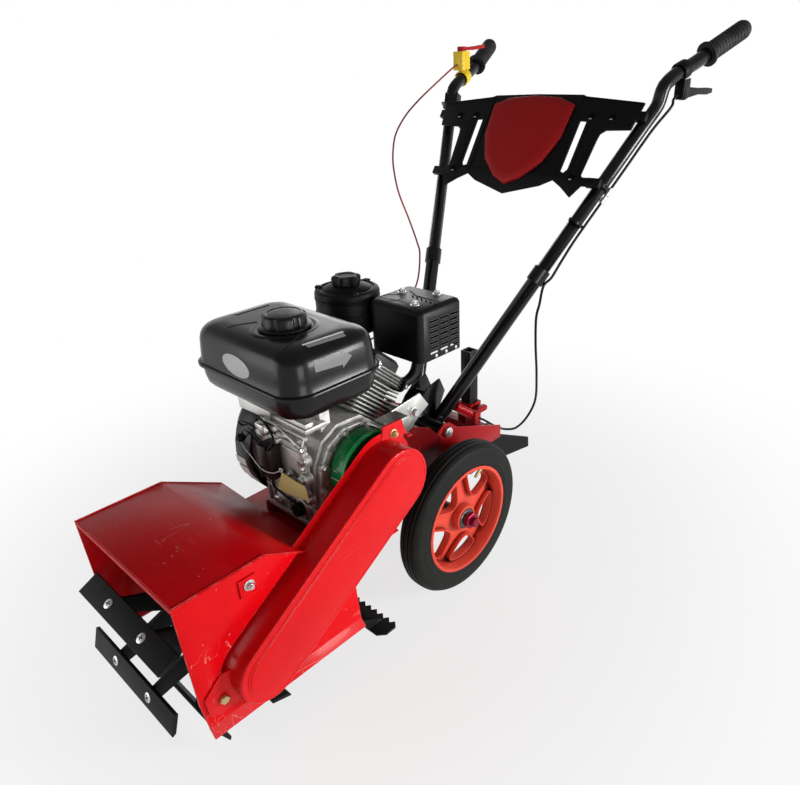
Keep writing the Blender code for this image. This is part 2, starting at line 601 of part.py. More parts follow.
# Intake: carburettor, air cleaner body, lid and knob
neck = cyl(0.150, 0.0)
carburettor = make("carburettor", block((-0.100, neck.x - 0.018, neck.y - 0.020),
                                        (-0.062, neck.x + 0.018, neck.y + 0.020)), "cast_alloy")
combine(carburettor, "UNION",
        helper("intake_stub", disc("X", (neck.x, neck.y), 0.008, -0.065, -0.048 - GAP, 20)),
        helper("intake_duct", block((-0.095, neck.x - 0.016, neck.y), (-0.067, -0.030, CLEANER_Z - GAP))))
cleaner = (CLEANER_X, CLEANER_Y)
lid_z = CLEANER_Z + 0.0593
make("air_cleaner", turned([(CLEANER_Z, 0.0), (CLEANER_Z, CLEANER_R - 0.006), (CLEANER_Z + 0.006, CLEANER_R - 0.002),
                            (lid_z - GAP, CLEANER_R - 0.001), (lid_z - GAP, 0.0)], "Z", cleaner, 40),
     "black_plastic", smooth=40)
make("air_cleaner_lid", turned([(lid_z, 0.0), (lid_z, CLEANER_R), (lid_z + 0.0117, CLEANER_R),
                                (lid_z + 0.0177, CLEANER_R - 0.004), (lid_z + 0.0217, CLEANER_R - 0.012),
                                (lid_z + 0.0237, 0.020), (lid_z + 0.0237, 0.0)], "Z", cleaner, 40),
     "black_plastic", smooth=40)
knob = [(CLEANER_X + (0.025 + 0.003 * math.cos(6 * a)) * math.cos(a),
         CLEANER_Y + (0.025 + 0.003 * math.cos(6 * a)) * math.sin(a)) for a in
        [math.tau * k / 48 for k in range(48)]]
knob_z = lid_z + 0.0237 + GAP
make("lid_knob", prism(knob, "Z", knob_z, knob_z + 0.0177), "black_plastic", (CLEANER_X, CLEANER_Y, knob_z), 40)


def corner_outline(low, high, radii, steps=5):
    """A rectangle outline whose corners (low-low, high-low, high-high, low-high) have their own radii."""
    points = []
    corners = ((low[0], low[1], 1, 1, 180), (high[0], low[1], -1, 1, 270), (high[0], high[1], -1, -1, 0),
               (low[0], high[1], 1, -1, 90))
    for (x, y, sx, sy, start), r in zip(corners, radii):
        for k in range(steps + 1):
            angle = math.radians(start + 90 * k / steps)
            points.append((x + sx * r + r * math.cos(angle), y + sy * r + r * math.sin(angle)))
    return points


# Exhaust: muffler box with its pipe, and its slotted guard
GUARD_LOW, GUARD_HIGH = (-0.038, -0.035), (0.090, 0.075)
GUARD_Z = (0.455, 0.548)
guard_radii = (0.020, 0.012, 0.012, 0.014)
shrunk = 0.002
guard = make("muffler_guard", loft(bmesh.new(), [
    [Vector((x, y, z)) for x, y in corner_outline((GUARD_LOW[0] + d, GUARD_LOW[1] + d),
                                                  (GUARD_HIGH[0] - d, GUARD_HIGH[1] - d),
                                                  [max(r - d, 0.004) for r in guard_radii])]
    for z, d in ((GUARD_Z[0], 0.0), (GUARD_Z[1] - 0.008, 0.0), (GUARD_Z[1] - 0.003, 0.003), (GUARD_Z[1], 0.009))]),
    "black_steel", smooth=35)
hollow = prism(corner_outline((GUARD_LOW[0] + shrunk, GUARD_LOW[1] + shrunk),
                              (GUARD_HIGH[0] - shrunk, GUARD_HIGH[1] - shrunk),
                              [r - shrunk for r in guard_radii]), "Z", GUARD_Z[0] - 0.02, GUARD_Z[1] - 0.010)
slots = bmesh.new()
for column in range(3):
    for row in range(7):
        y = -0.010 + column * 0.026
        z = GUARD_Z[0] + 0.010 + row * 0.0095
        block((GUARD_HIGH[0] - 0.01, y, z), (GUARD_HIGH[0] + 0.01, y + 0.020, z + 0.004), slots)
combine(guard, "DIFFERENCE", helper("guard_room", hollow), helper("guard_slots", slots))
muffler = make("muffler", prism(corner_outline((-0.020, -0.018), (0.076, 0.058), (0.014, 0.012, 0.012, 0.012)),
                                "Z", 0.462, 0.530), "black_steel", smooth=35)
studs = [helper(f"stud_{i}", disc("Z", place, 0.004, 0.525, GUARD_Z[1] - 0.010 - GAP, 12))
         for i, place in enumerate(((0.012, 0.040), (0.045, 0.050), (0.049, 0.0)))]
port = cyl(0.151, -0.045 - GAP - 0.0011)
fall = -CYL_SIDE
pipe = [Vector((0.030, port.x, port.y)), Vector((0.031, port.x + fall.x * 0.012, port.y + fall.y * 0.012)),
        Vector((0.034, -0.018, 0.402)), Vector((0.036, 0.002, 0.412)), Vector((0.036, 0.012, 0.432)),
        Vector((0.036, 0.014, 0.452)), Vector((0.036, 0.014, 0.4700))]
exhaust = helper("exhaust_pipe", swept(bmesh.new(), smooth_path(pipe, 14), [0.010] * 15, 12))
combine(muffler, "UNION", exhaust, *studs)

# Engine fittings
make("switch_box", prism(rounded(-0.022, 0.338, 0.018, 0.034, 0.006, 3), "Y", -0.297, -0.265 - GAP),
     "black_plastic")
plate = [(-0.1138, 0.400), (-0.0451, 0.4072), (-0.0234, 0.3776), (-0.0526, 0.3617), (-0.0686, 0.3486),
         (-0.0892, 0.3397), (-0.1046, 0.3638)]
bracket = make("mount_bracket", prism(plate, "X", 0.0905, 0.0935), "bright_steel")
combine(bracket, "UNION",
        helper("bracket_tail", block((0.0905, -0.150, 0.392), (CASE_BACK - 0.003 - GAP, -0.106, 0.3985))),
        helper("bracket_spacer", disc("X", (-0.088, 0.374), 0.007, 0.057 + GAP, 0.092, 16)))

# Wheels: tyre and five-spoke rim turn on the fixed axle
TYRE = [(-0.0210, RIM_R + GAP), (-0.0222, WHEEL_R - 0.028), (-0.0215, WHEEL_R - 0.014), (-0.0165, WHEEL_R - 0.0045),
        (-0.008, WHEEL_R - 0.0006), (0.0, WHEEL_R), (0.008, WHEEL_R - 0.0006), (0.0165, WHEEL_R - 0.0045),
        (0.0215, WHEEL_R - 0.014), (0.0222, WHEEL_R - 0.028), (0.0210, RIM_R + GAP)]
hub_place = (0.0, WHEEL_R)
for name, side in (("r", 1), ("l", -1)):
    centre_x = side * TRACK_HALF
    origin = (centre_x, 0.0, WHEEL_R)
    tyre = [(centre_x + side * x * TYRE_WIDTH / 0.044, r) for x, r in TYRE]
    make(f"tyre_{name}", turned(tyre, "X", hub_place, 40), "tyre_rubber", origin, 40)
    barrel = [(centre_x + side * x, r) for x, r in ((-0.020, RIM_R - 0.006), (-0.020, RIM_R), (0.0225, RIM_R),
                                                   (0.0225, RIM_R - 0.005), (0.010, RIM_R - 0.009),
                                                   (-0.010, RIM_R - 0.009))]
    rim = make(f"rim_{name}", turned(barrel, "X", hub_place, 40), "rim_paint", origin, 40)
    hub = [disc("X", hub_place, 0.026, *sorted((centre_x - side * 0.012, centre_x + side * 0.017)))]
    spoke = [(0.018, 0.008), (0.055, 0.008), (RIM_R - 0.0082, 0.030), (RIM_R - 0.0082, 0.019), (0.070, 0.0),
             (RIM_R - 0.0082, -0.019), (RIM_R - 0.0082, -0.030), (0.055, -0.008), (0.018, -0.008)]
    for number in range(5):
        angle = math.radians(90 + 72 * number)
        turn = Matrix.Rotation(angle, 2)
        outline = [tuple(turn @ Vector(p) + Vector(hub_place)) for p in spoke]
        hub.append(prism(outline, "X", *sorted((centre_x - side * 0.002, centre_x + side * 0.014))))
    combine(rim, "UNION", *[helper(f"rim_part_{name}_{i}", part) for i, part in enumerate(hub)])
    combine(rim, "DIFFERENCE", helper(f"hub_bore_{name}", disc("X", hub_place, AXLE_R + GAP, *sorted(
        (centre_x - side * 0.03, centre_x + side * 0.03)), 24)))
collar_in, collar_out = RAIL_OUT + GAP, TRACK_HALF - 0.0125
nut_in, nut_out = TRACK_HALF + 0.0175, TRACK_HALF + 0.028
half_axle = [(collar_in, AXLE_R), (collar_in, 0.013), (collar_out, 0.013), (collar_out, AXLE_R),
             (nut_in, AXLE_R), (nut_in, 0.0135), (nut_out, 0.0135), (nut_out, AXLE_R), (0.182, AXLE_R), (0.182, 0.0)]
make("axle", turned([(-x, r) for x, r in half_axle[::-1]] + half_axle, "X", hub_place, 16), "bright_steel", smooth=40)

# Stake with its ridger wings, and the bolt that clamps it
stake = make("ridger", block((-STAKE_HALF, STAKE_Y - STAKE_HALF, 0.092), (STAKE_HALF, STAKE_Y + STAKE_HALF, 0.385)),
             "black_steel")
wings = []
for side in (-1, 1):
    root_y = STAKE_Y + STAKE_HALF - 0.0015
    quad = [Vector((side * 0.004, root_y, 0.190)), Vector((side * 0.004, root_y, 0.095)),
            Vector((side * 0.055, 0.352, 0.112)), Vector((side * 0.055, 0.350, 0.137))]
    skin = (quad[1] - quad[0]).cross(quad[2] - quad[0]).normalized() * 0.004 * side
    wings.append(helper(f"wing_{side}", loft(bmesh.new(), [quad, [p + skin for p in quad]])))
combine(stake, "UNION", *wings)
combine(stake, "DIFFERENCE", helper("stake_bore", block((-STAKE_HALF + 0.003, STAKE_Y - STAKE_HALF + 0.003, 0.215),
                                                        (STAKE_HALF - 0.003, STAKE_Y + STAKE_HALF - 0.003, 0.4))))
bolt = make("depth_bolt", disc("X", (STAKE_Y, BOLT_Z), 0.005, STAKE_HALF + GAP + 0.0002, STAKE_HALF + 0.0235, 16), "red_paint",
            (0.03, STAKE_Y, BOLT_Z), 40)
combine(bolt, "UNION", helper("bolt_wing", prism(rounded(STAKE_Y, BOLT_Z, 0.017, 0.006, 0.005, 3), "X",
                                                 STAKE_HALF + 0.0135, STAKE_HALF + 0.0235)))

# Handlebar: yoke on its pivot bolt, two tubes, console plate, badge, grips
def tube_centre(z, side=1):
    return Vector((side * (TUBE_LEAN_X * z + TUBE_X0), TUBE_LEAN_Y * z + TUBE_Y0, z))


pivot = (0.0, PIVOT_Y, PIVOT_Z)
pivot_bolt = make("pivot_bolt", disc("X", (PIVOT_Y, PIVOT_Z), 0.006, -0.092, 0.092, 20), "bright_steel", smooth=40)
combine(pivot_bolt, "UNION",
        *[helper(f"pivot_head_{s}", prism(circle(PIVOT_Y, PIVOT_Z, 0.0105, 6), "X",
                                          *sorted((s * (RAIL_OUT + GAP), s * (RAIL_OUT + 0.0075))))) for s in (-1, 1)])
sleeve_half = RAIL_OUT - 0.003 - GAP
yoke = make("handle_yoke", disc("X", (PIVOT_Y, PIVOT_Z), 0.013, -sleeve_half, sleeve_half, 28), "black_paint", pivot)
cheek = [(0.026, PIVOT_Z - 0.004), (0.020, 0.327), (0.031, 0.341), (0.055, 0.358), (0.090, 0.366),
         (0.104, 0.336), (0.069, 0.276), (0.046, 0.270)]
parts = []
for side in (-1, 1):
    parts.append(prism(cheek, "X", *sorted((side * 0.016, side * 0.020))))
    parts.append(rod(tube_centre(0.264, side), tube_centre(0.2985, side), TUBE_R, 20))
parts.append(block((-0.018, 0.050, 0.290), (0.018, 0.054, 0.352)))
combine(yoke, "UNION", *[helper(f"yoke_part_{i}", part) for i, part in enumerate(parts)])
combine(yoke, "DIFFERENCE", helper("yoke_bore", disc("X", (PIVOT_Y, PIVOT_Z), 0.0063, -0.1, 0.1, 20)))

BEND = Vector((0.241, 0.446, 0.860))
FLANGE = Vector((0.263, 0.554, 0.906))
TIP = Vector((0.288, 0.634, 0.943))
GRIP_LENGTH = 0.108
grip_run = (TIP - FLANGE).normalized()


def mirrored(point, side):
    return Vector((side * point.x, point.y, point.z))


def handle_path(side):
    run = (tube_centre(0.86) - tube_centre(0.30)).normalized()
    knots = [tube_centre(0.800), tube_centre(0.830), BEND, Vector((0.2475, 0.482, 0.8795)),
             Vector((0.2550, 0.518, 0.8915)), FLANGE, FLANGE + grip_run * 0.030, FLANGE + grip_run * 0.060]
    straight = [tube_centre(0.2985) + run * 0.0003, tube_centre(0.40), tube_centre(COLLAR_Z[0]), tube_centre(COLLAR_Z[0] + 0.0005),
                tube_centre(COLLAR_Z[1]), tube_centre(COLLAR_Z[1] + 0.0005), tube_centre(0.70)]
    radii = [0.0135, 0.0135, 0.0135, 0.0165, 0.0165, TUBE_R, TUBE_R]
    bend = smooth_path(knots, 28)
    path = [mirrored(p, side) for p in straight + bend]
    return path, radii + [TUBE_R] * len(bend)


for name, side in (("r", 1), ("l", -1)):
    path, radii = handle_path(side)
    make(f"handle_{name}", swept(bmesh.new(), path, radii, 14), "black_paint", pivot, 40)
    run = mirrored(grip_run, side)
    grip = turned([(0.0, GRIP_BORE), (0.0, GRIP_R + 0.004), (0.006, GRIP_R + 0.004), (0.008, GRIP_R - 0.001),
                   (0.050, GRIP_R), (GRIP_LENGTH - 0.012, GRIP_R), (GRIP_LENGTH - 0.003, GRIP_R - 0.005),
                   (GRIP_LENGTH, GRIP_R - 0.010), (GRIP_LENGTH, 0.0), (0.061, 0.0), (0.061, GRIP_BORE)],
                  "Z", (0.0, 0.0), 20)
    place = Matrix.Translation(mirrored(FLANGE, side)) @ run.to_track_quat("Z", "Y").to_matrix().to_4x4()
    bmesh.ops.transform(grip, verts=grip.verts, matrix=place)
    make(f"grip_{name}", grip, "grip_rubber", pivot, 40)

PLATE_AT = Vector((0.0, 0.3926, 0.8087))
PLATE_UP = Vector((0.0, 0.5692, 0.8222))
PLATE_OUT = Vector((0.0, -0.8222, 0.5692))


def on_plate(u, v, n=0.0):
    return PLATE_AT + Vector((u, 0, 0)) + PLATE_UP * v + PLATE_OUT * n


def plate_solid(outline, low, high):
    return loft(bmesh.new(), [[on_plate(u, v, n) for u, v in outline] for n in (low, high)])


half_plate = [(0.100, 0.048), (0.111, 0.044), (0.227, 0.032), (0.219, -0.018), (0.172, -0.020),
              (0.163, -0.027), (0.161, -0.038), (0.156, -0.106), (0.161, -0.111), (0.190, -0.111),
              (0.193, -0.116), (0.183, -0.127), (0.164, -0.127), (0.149, -0.150), (0.123, -0.132),
              (0.101, -0.120), (0.077, -0.133)]
console_line = [(0.0, 0.050)] + half_plate + [(0.0, -0.155)] + [(-u, v) for u, v in half_plate[::-1]]
console = make("console", plate_solid(console_line, -0.002, 0.002), "black_plastic", pivot)
lugs = []
for side in (-1, 1):
    for v, start, stop in ((0.010, 0.204, 0.236), (-0.117, 0.170, 0.197)):
        lugs.append(plate_solid([(side * start, v - 0.008), (side * stop, v - 0.008),
                                 (side * stop, v + 0.008), (side * start, v + 0.008)], -0.0108, -0.001))
combine(console, "UNION", *[helper(f"console_lug_{i}", part) for i, part in enumerate(lugs)])
slot_line = [(0.113, -0.003), (0.127, -0.004), (0.125, -0.098), (0.119, -0.105), (0.111, -0.102)]
combine(console, "DIFFERENCE",
        helper("console_slot_r", plate_solid(slot_line, -0.01, 0.01)),
        helper("console_slot_l", plate_solid([(-u, v) for u, v in slot_line[::-1]], -0.01, 0.01)))
shield = [(0.0, 0.044), (0.055, 0.040), (0.092, 0.026), (0.088, -0.040), (0.066, -0.090), (0.030, -0.124),
          (0.0, -0.138)]
shield_line = shield + [(-u, v) for u, v in shield[-2:0:-1]]
make("badge", loft(bmesh.new(), [[on_plate(u * s, (v + 0.045) * s - 0.045, n) for u, v in shield_line]
                                 for n, s in ((0.0023, 1.0), (0.008, 1.0), (0.011, 0.94), (0.013, 0.80))]),
     "red_plastic", pivot, 30)


def clamp_ring(side, place, run, reach, width, bore):
    """A ring round a handle tube."""
    ring = turned([(-width, bore), (-width, reach), (width, reach), (width, bore)], "Z", (0.0, 0.0), 24)
    turn = Matrix.Translation(place) @ run.to_track_quat("Z", "Y").to_matrix().to_4x4()
    bmesh.ops.transform(ring, verts=ring.verts, matrix=turn)
    return ring


# Clutch lever under the right grip, throttle on the left
path, _ = handle_path(1)
spot_r = min(range(len(path)), key=lambda i: abs(path[i].y - 0.492))
seat_r = path[spot_r]
run_r = (path[spot_r + 1] - path[spot_r - 1]).normalized()
lever_bracket = make("lever_bracket", clamp_ring(1, seat_r, run_r, TUBE_R + 0.0035, 0.009, TUBE_R + GAP),
                     "black_plastic", pivot)
LEVER_AT = Vector((seat_r.x + 0.003, 0.500, 0.846))
leg = bmesh.new()
for x in (-0.0085, 0.0055):
    loft(leg, [[Vector((LEVER_AT.x + dx + x, y, z)) for y, z in (
        (0.486, seat_r.z - 0.0145), (0.508, seat_r.z - 0.0125), (0.511, 0.840), (0.494, 0.836))] for dx in (0.0, 0.003)])
bridge = block((LEVER_AT.x - 0.0085, 0.4835, 0.838), (LEVER_AT.x + 0.0085, 0.4880, seat_r.z - 0.0150))
combine(lever_bracket, "UNION", helper("lever_legs", leg), helper("lever_bridge", bridge))
combine(lever_bracket, "DIFFERENCE", helper("bracket_bore", rod(seat_r - run_r * 0.05, seat_r + run_r * 0.05,
                                                                TUBE_R + 0.0012, 32)))
lever_line = [(0.490, 0.838), (0.499, 0.835), (0.512, 0.838), (0.560, 0.842), (0.600, 0.840), (0.622, 0.842),
              (0.622, 0.850), (0.598, 0.852), (0.560, 0.853), (0.516, 0.856), (0.503, 0.856), (0.492, 0.852)]
lever_low, lever_high = LEVER_AT.x - 0.0052, LEVER_AT.x + 0.0052
make("clutch_lever", prism(lever_line, "X", lever_low, lever_high), "black_plastic", tuple(LEVER_AT))

seat_l = mirrored(seat_r, -1)
run_l = mirrored(run_r, -1)
throttle_body = make("throttle_body", clamp_ring(-1, seat_l, run_l, TUBE_R + 0.0035, 0.010, TUBE_R + GAP),
                     "yellow_plastic", pivot)
body_low = Vector((seat_l.x - 0.020, 0.482, seat_l.z + 0.014))
body_high = Vector((seat_l.x + 0.006, 0.508, 0.934))
combine(throttle_body, "UNION", helper("throttle_box", block(body_low, body_high)))
combine(throttle_body, "DIFFERENCE", helper("throttle_bore", rod(seat_l - run_l * 0.05, seat_l + run_l * 0.05,
                                                                 TUBE_R + 0.0012, 32)))
THROTTLE_AT = Vector((seat_l.x - 0.007, 0.495, body_high.z + GAP))
throttle_lever = make("throttle_lever", disc("Z", (THROTTLE_AT.x, THROTTLE_AT.y), 0.0095, THROTTLE_AT.z,
                                             THROTTLE_AT.z + 0.009, 24), "red_plastic", tuple(THROTTLE_AT), 40)
arm = loft(bmesh.new(), [[Vector((THROTTLE_AT.x + x, y, THROTTLE_AT.z + z + rise))
                          for x, z in ((-half, 0.001), (half, 0.001), (half, 0.008), (-half, 0.008))]
                         for y, half, rise in ((0.495, 0.0070, 0.0), (0.530, 0.0065, 0.001), (0.570, 0.0055, 0.005))])
combine(throttle_lever, "UNION", helper("throttle_arm", arm))

# Cords: the clutch cable and the pair of switch wires
cable_knots = [(LEVER_AT.x, 0.4830, 0.8440), (LEVER_AT.x, 0.4740, 0.8435), (LEVER_AT.x + 0.001, 0.4620, 0.8370),
               (0.2560, 0.4500, 0.8260)]
aside = Vector((0.763, 0.371, -0.53)).normalized()
for z, away in ((0.80, 0.0175), (0.74, 0.0175), (0.68, 0.0175), (0.62, 0.0175), (0.585, 0.020), (0.56, 0.0222)):
    cable_knots.append(tuple(tube_centre(z) + aside * away))
cable_knots += [(0.1432, 0.2480, 0.5340), (0.1370, 0.2470, 0.4983), (0.1310, 0.2470, 0.4683), (0.1220, 0.2635, 0.4065),
                (0.1120, 0.2876, 0.3310), (0.1000, 0.3059, 0.2626), (0.0860, 0.2988, 0.2196),
                (0.0730, 0.2784, 0.1971), (0.0600, 0.2567, 0.1973), (0.0490, 0.2356, 0.2092),
                (0.0400, 0.2051, 0.2345),
                tuple(stop_low - stop_run * 0.0050)]
tube("clutch_cable", smooth_path(cable_knots, 62), 0.0025, "black_plastic", pivot)
wire_knots = [(-0.2585, 0.4810, 0.9080), (-0.2610, 0.4650, 0.9000), (-0.2620, 0.4212, 0.8773),
              (-0.2600, 0.3570, 0.8446), (-0.2560, 0.3080, 0.8155), (-0.2500, 0.2713, 0.7834),
              (-0.2420, 0.2527, 0.7500), (-0.2330, 0.2436, 0.7190), (-0.2170, 0.2387, 0.6744),
              (-0.1980, 0.2466, 0.6208), (-0.1780, 0.2481, 0.5742), (-0.1650, 0.2414, 0.5486),
              (-0.1500, 0.2120, 0.4956), (-0.1400, 0.1500, 0.4500), (-0.1300, 0.0600, 0.4250),
              (-0.1300, -0.0200, 0.4180), (-0.1290, -0.0680, 0.4330), (-0.1150, -0.0815, 0.4400),
              (-0.1004, -0.0815, 0.4400)]
tube("throttle_cord", smooth_path(wire_knots, 54), 0.0018, "red_plastic", pivot)
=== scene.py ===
"""Studio view of a petrol mini tiller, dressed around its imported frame.

Lengths are in metres: +X is the chain-case side, -Y the rotor end, +Z up. The points in the classes count
Y from the wheel axle, as the machine's own drawings do, and the function at() moves them into the frame.
"""
from __future__ import annotations

import json
import logging
import math
from dataclasses import dataclass
from enum import Enum
from typing import Callable, Iterable, Sequence

import bmesh
import bpy
from mathutils import Matrix, Vector

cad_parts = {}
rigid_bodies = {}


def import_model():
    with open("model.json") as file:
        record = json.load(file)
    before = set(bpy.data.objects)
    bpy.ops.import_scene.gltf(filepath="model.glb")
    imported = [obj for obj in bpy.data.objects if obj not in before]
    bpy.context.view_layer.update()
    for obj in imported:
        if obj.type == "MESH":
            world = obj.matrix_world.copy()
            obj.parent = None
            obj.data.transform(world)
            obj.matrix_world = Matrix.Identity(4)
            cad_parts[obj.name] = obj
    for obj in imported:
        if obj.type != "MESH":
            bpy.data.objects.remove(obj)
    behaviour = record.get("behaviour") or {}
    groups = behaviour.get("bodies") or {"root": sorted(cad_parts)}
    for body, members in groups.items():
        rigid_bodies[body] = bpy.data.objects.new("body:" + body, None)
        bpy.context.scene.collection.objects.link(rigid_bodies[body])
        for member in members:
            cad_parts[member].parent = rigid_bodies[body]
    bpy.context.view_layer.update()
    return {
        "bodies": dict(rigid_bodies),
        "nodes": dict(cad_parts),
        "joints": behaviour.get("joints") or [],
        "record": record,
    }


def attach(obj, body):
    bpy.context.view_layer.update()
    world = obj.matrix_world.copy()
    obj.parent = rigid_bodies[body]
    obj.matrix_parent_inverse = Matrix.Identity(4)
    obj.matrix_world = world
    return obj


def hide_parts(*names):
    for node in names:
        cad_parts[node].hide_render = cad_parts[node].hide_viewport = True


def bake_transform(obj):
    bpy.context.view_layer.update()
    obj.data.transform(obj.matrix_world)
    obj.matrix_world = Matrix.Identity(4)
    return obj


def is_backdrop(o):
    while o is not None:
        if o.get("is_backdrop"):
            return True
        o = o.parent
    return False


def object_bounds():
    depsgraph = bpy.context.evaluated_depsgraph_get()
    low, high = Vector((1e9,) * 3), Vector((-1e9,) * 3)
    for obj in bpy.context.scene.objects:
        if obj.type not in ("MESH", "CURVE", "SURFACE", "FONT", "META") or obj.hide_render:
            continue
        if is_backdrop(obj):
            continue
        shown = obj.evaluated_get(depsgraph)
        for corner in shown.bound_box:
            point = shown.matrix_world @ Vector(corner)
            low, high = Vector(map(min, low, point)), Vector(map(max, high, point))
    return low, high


LOG = logging.getLogger("tiller")
MACHINE_Y = -0.02394
SHARP_ANGLE = math.radians(30.0)
WASHER_THICK = 0.0012
SENSOR_WIDTH = 36.0
WHITE = (1.0, 1.0, 1.0)
RIGHT, LEFT, FRONT, UP = (1.0, 0.0, 0.0), (-1.0, 0.0, 0.0), (0.0, -1.0, 0.0), (0.0, 0.0, 1.0)
BESIDE_TUBE = Vector((0.763, 0.371, -0.53)).normalized()
Point = Sequence[float]
FRAME: dict = {}
Colour = tuple[float, float, float]


class Body(str, Enum):
    """The bodies that a piece can ride on."""

    MACHINE = "machine"
    ROTOR = "rotor"
    CRANK = "crank"
    WHEEL_R = "wheel_r"
    WHEEL_L = "wheel_l"
    CAP = "cap"
    KNOB = "cleaner_knob"
    RECOIL = "recoil"
    STAKE = "stake"
    CLAMP = "clamp_bolt"
    HANDLEBAR = "handlebar"
    CLUTCH = "clutch"
    THROTTLE = "throttle"


class Slot(str, Enum):
    """The record's material slots."""

    RED = "red_paint"
    BLACK = "black_paint"
    BLACK_STEEL = "black_steel"
    BRIGHT = "bright_steel"
    ALLOY = "cast_alloy"
    GREEN = "green_paint"
    PLASTIC = "black_plastic"
    YELLOW = "yellow_plastic"
    RED_PLASTIC = "red_plastic"
    RIM = "rim_paint"
    TYRE = "tyre_rubber"
    GRIP = "grip_rubber"


def grey(level: float) -> Colour:
    """A grey of one level."""
    return level, level, level


def at(x: float, y: float, z: float) -> Vector:
    """A point of the frame from one whose Y is counted from the wheel axle."""
    return Vector((x, y + MACHINE_Y, z))


def tube_middle(height: float, side: int) -> Vector:
    """The middle of a handle tube's straight run at a height."""
    return at(side * (0.3812 * height - 0.0792), 0.6803 * height - 0.1283, height)


# ---------------------------------------------------------------- shader expressions


@dataclass(frozen=True)
class Value:
    """An output socket that takes part in Python arithmetic."""

    graph: "Graph"
    socket: bpy.types.NodeSocket

    def _join(self, operation: str, first: object, second: object = None, clamp: bool = False) -> "Value":
        """Add one Math node.

        Args:
            operation: The Math node's operation.
            first: A value or number for the first input.
            second: A value or number for the second input.
            clamp: Whether the result is held between 0 and 1.

        Returns:
            The result as a value.
        """
        inputs = {0: first} if second is None else {0: first, 1: second}
        return self.graph.node("ShaderNodeMath", {"operation": operation, "use_clamp": clamp}, inputs)

    def __add__(self, other: object) -> "Value":
        """Sum."""
        return self._join("ADD", self, other)

    __radd__ = __add__

    def __mul__(self, other: object) -> "Value":
        """Product."""
        return self._join("MULTIPLY", self, other)

    __rmul__ = __mul__

    def __sub__(self, other: object) -> "Value":
        """Difference."""
        return self._join("SUBTRACT", self, other)

    def __rsub__(self, other: object) -> "Value":
        """Difference from a number."""
        return self._join("SUBTRACT", other, self)

    def held(self) -> "Value":
        """The value held between 0 and 1."""
        return self._join("ADD", self, 0.0, clamp=True)

    def most(self, other: object) -> "Value":
        """The larger of two values."""
        return self._join("MAXIMUM", self, other)

    def step(self, low: float, high: float) -> "Value":
        """A smooth rise from 0 to 1 between two numbers."""
        return self.graph.node("ShaderNodeMapRange", {"interpolation_type": "SMOOTHSTEP"},
                               {"Value": self, "From Min": low, "From Max": high})


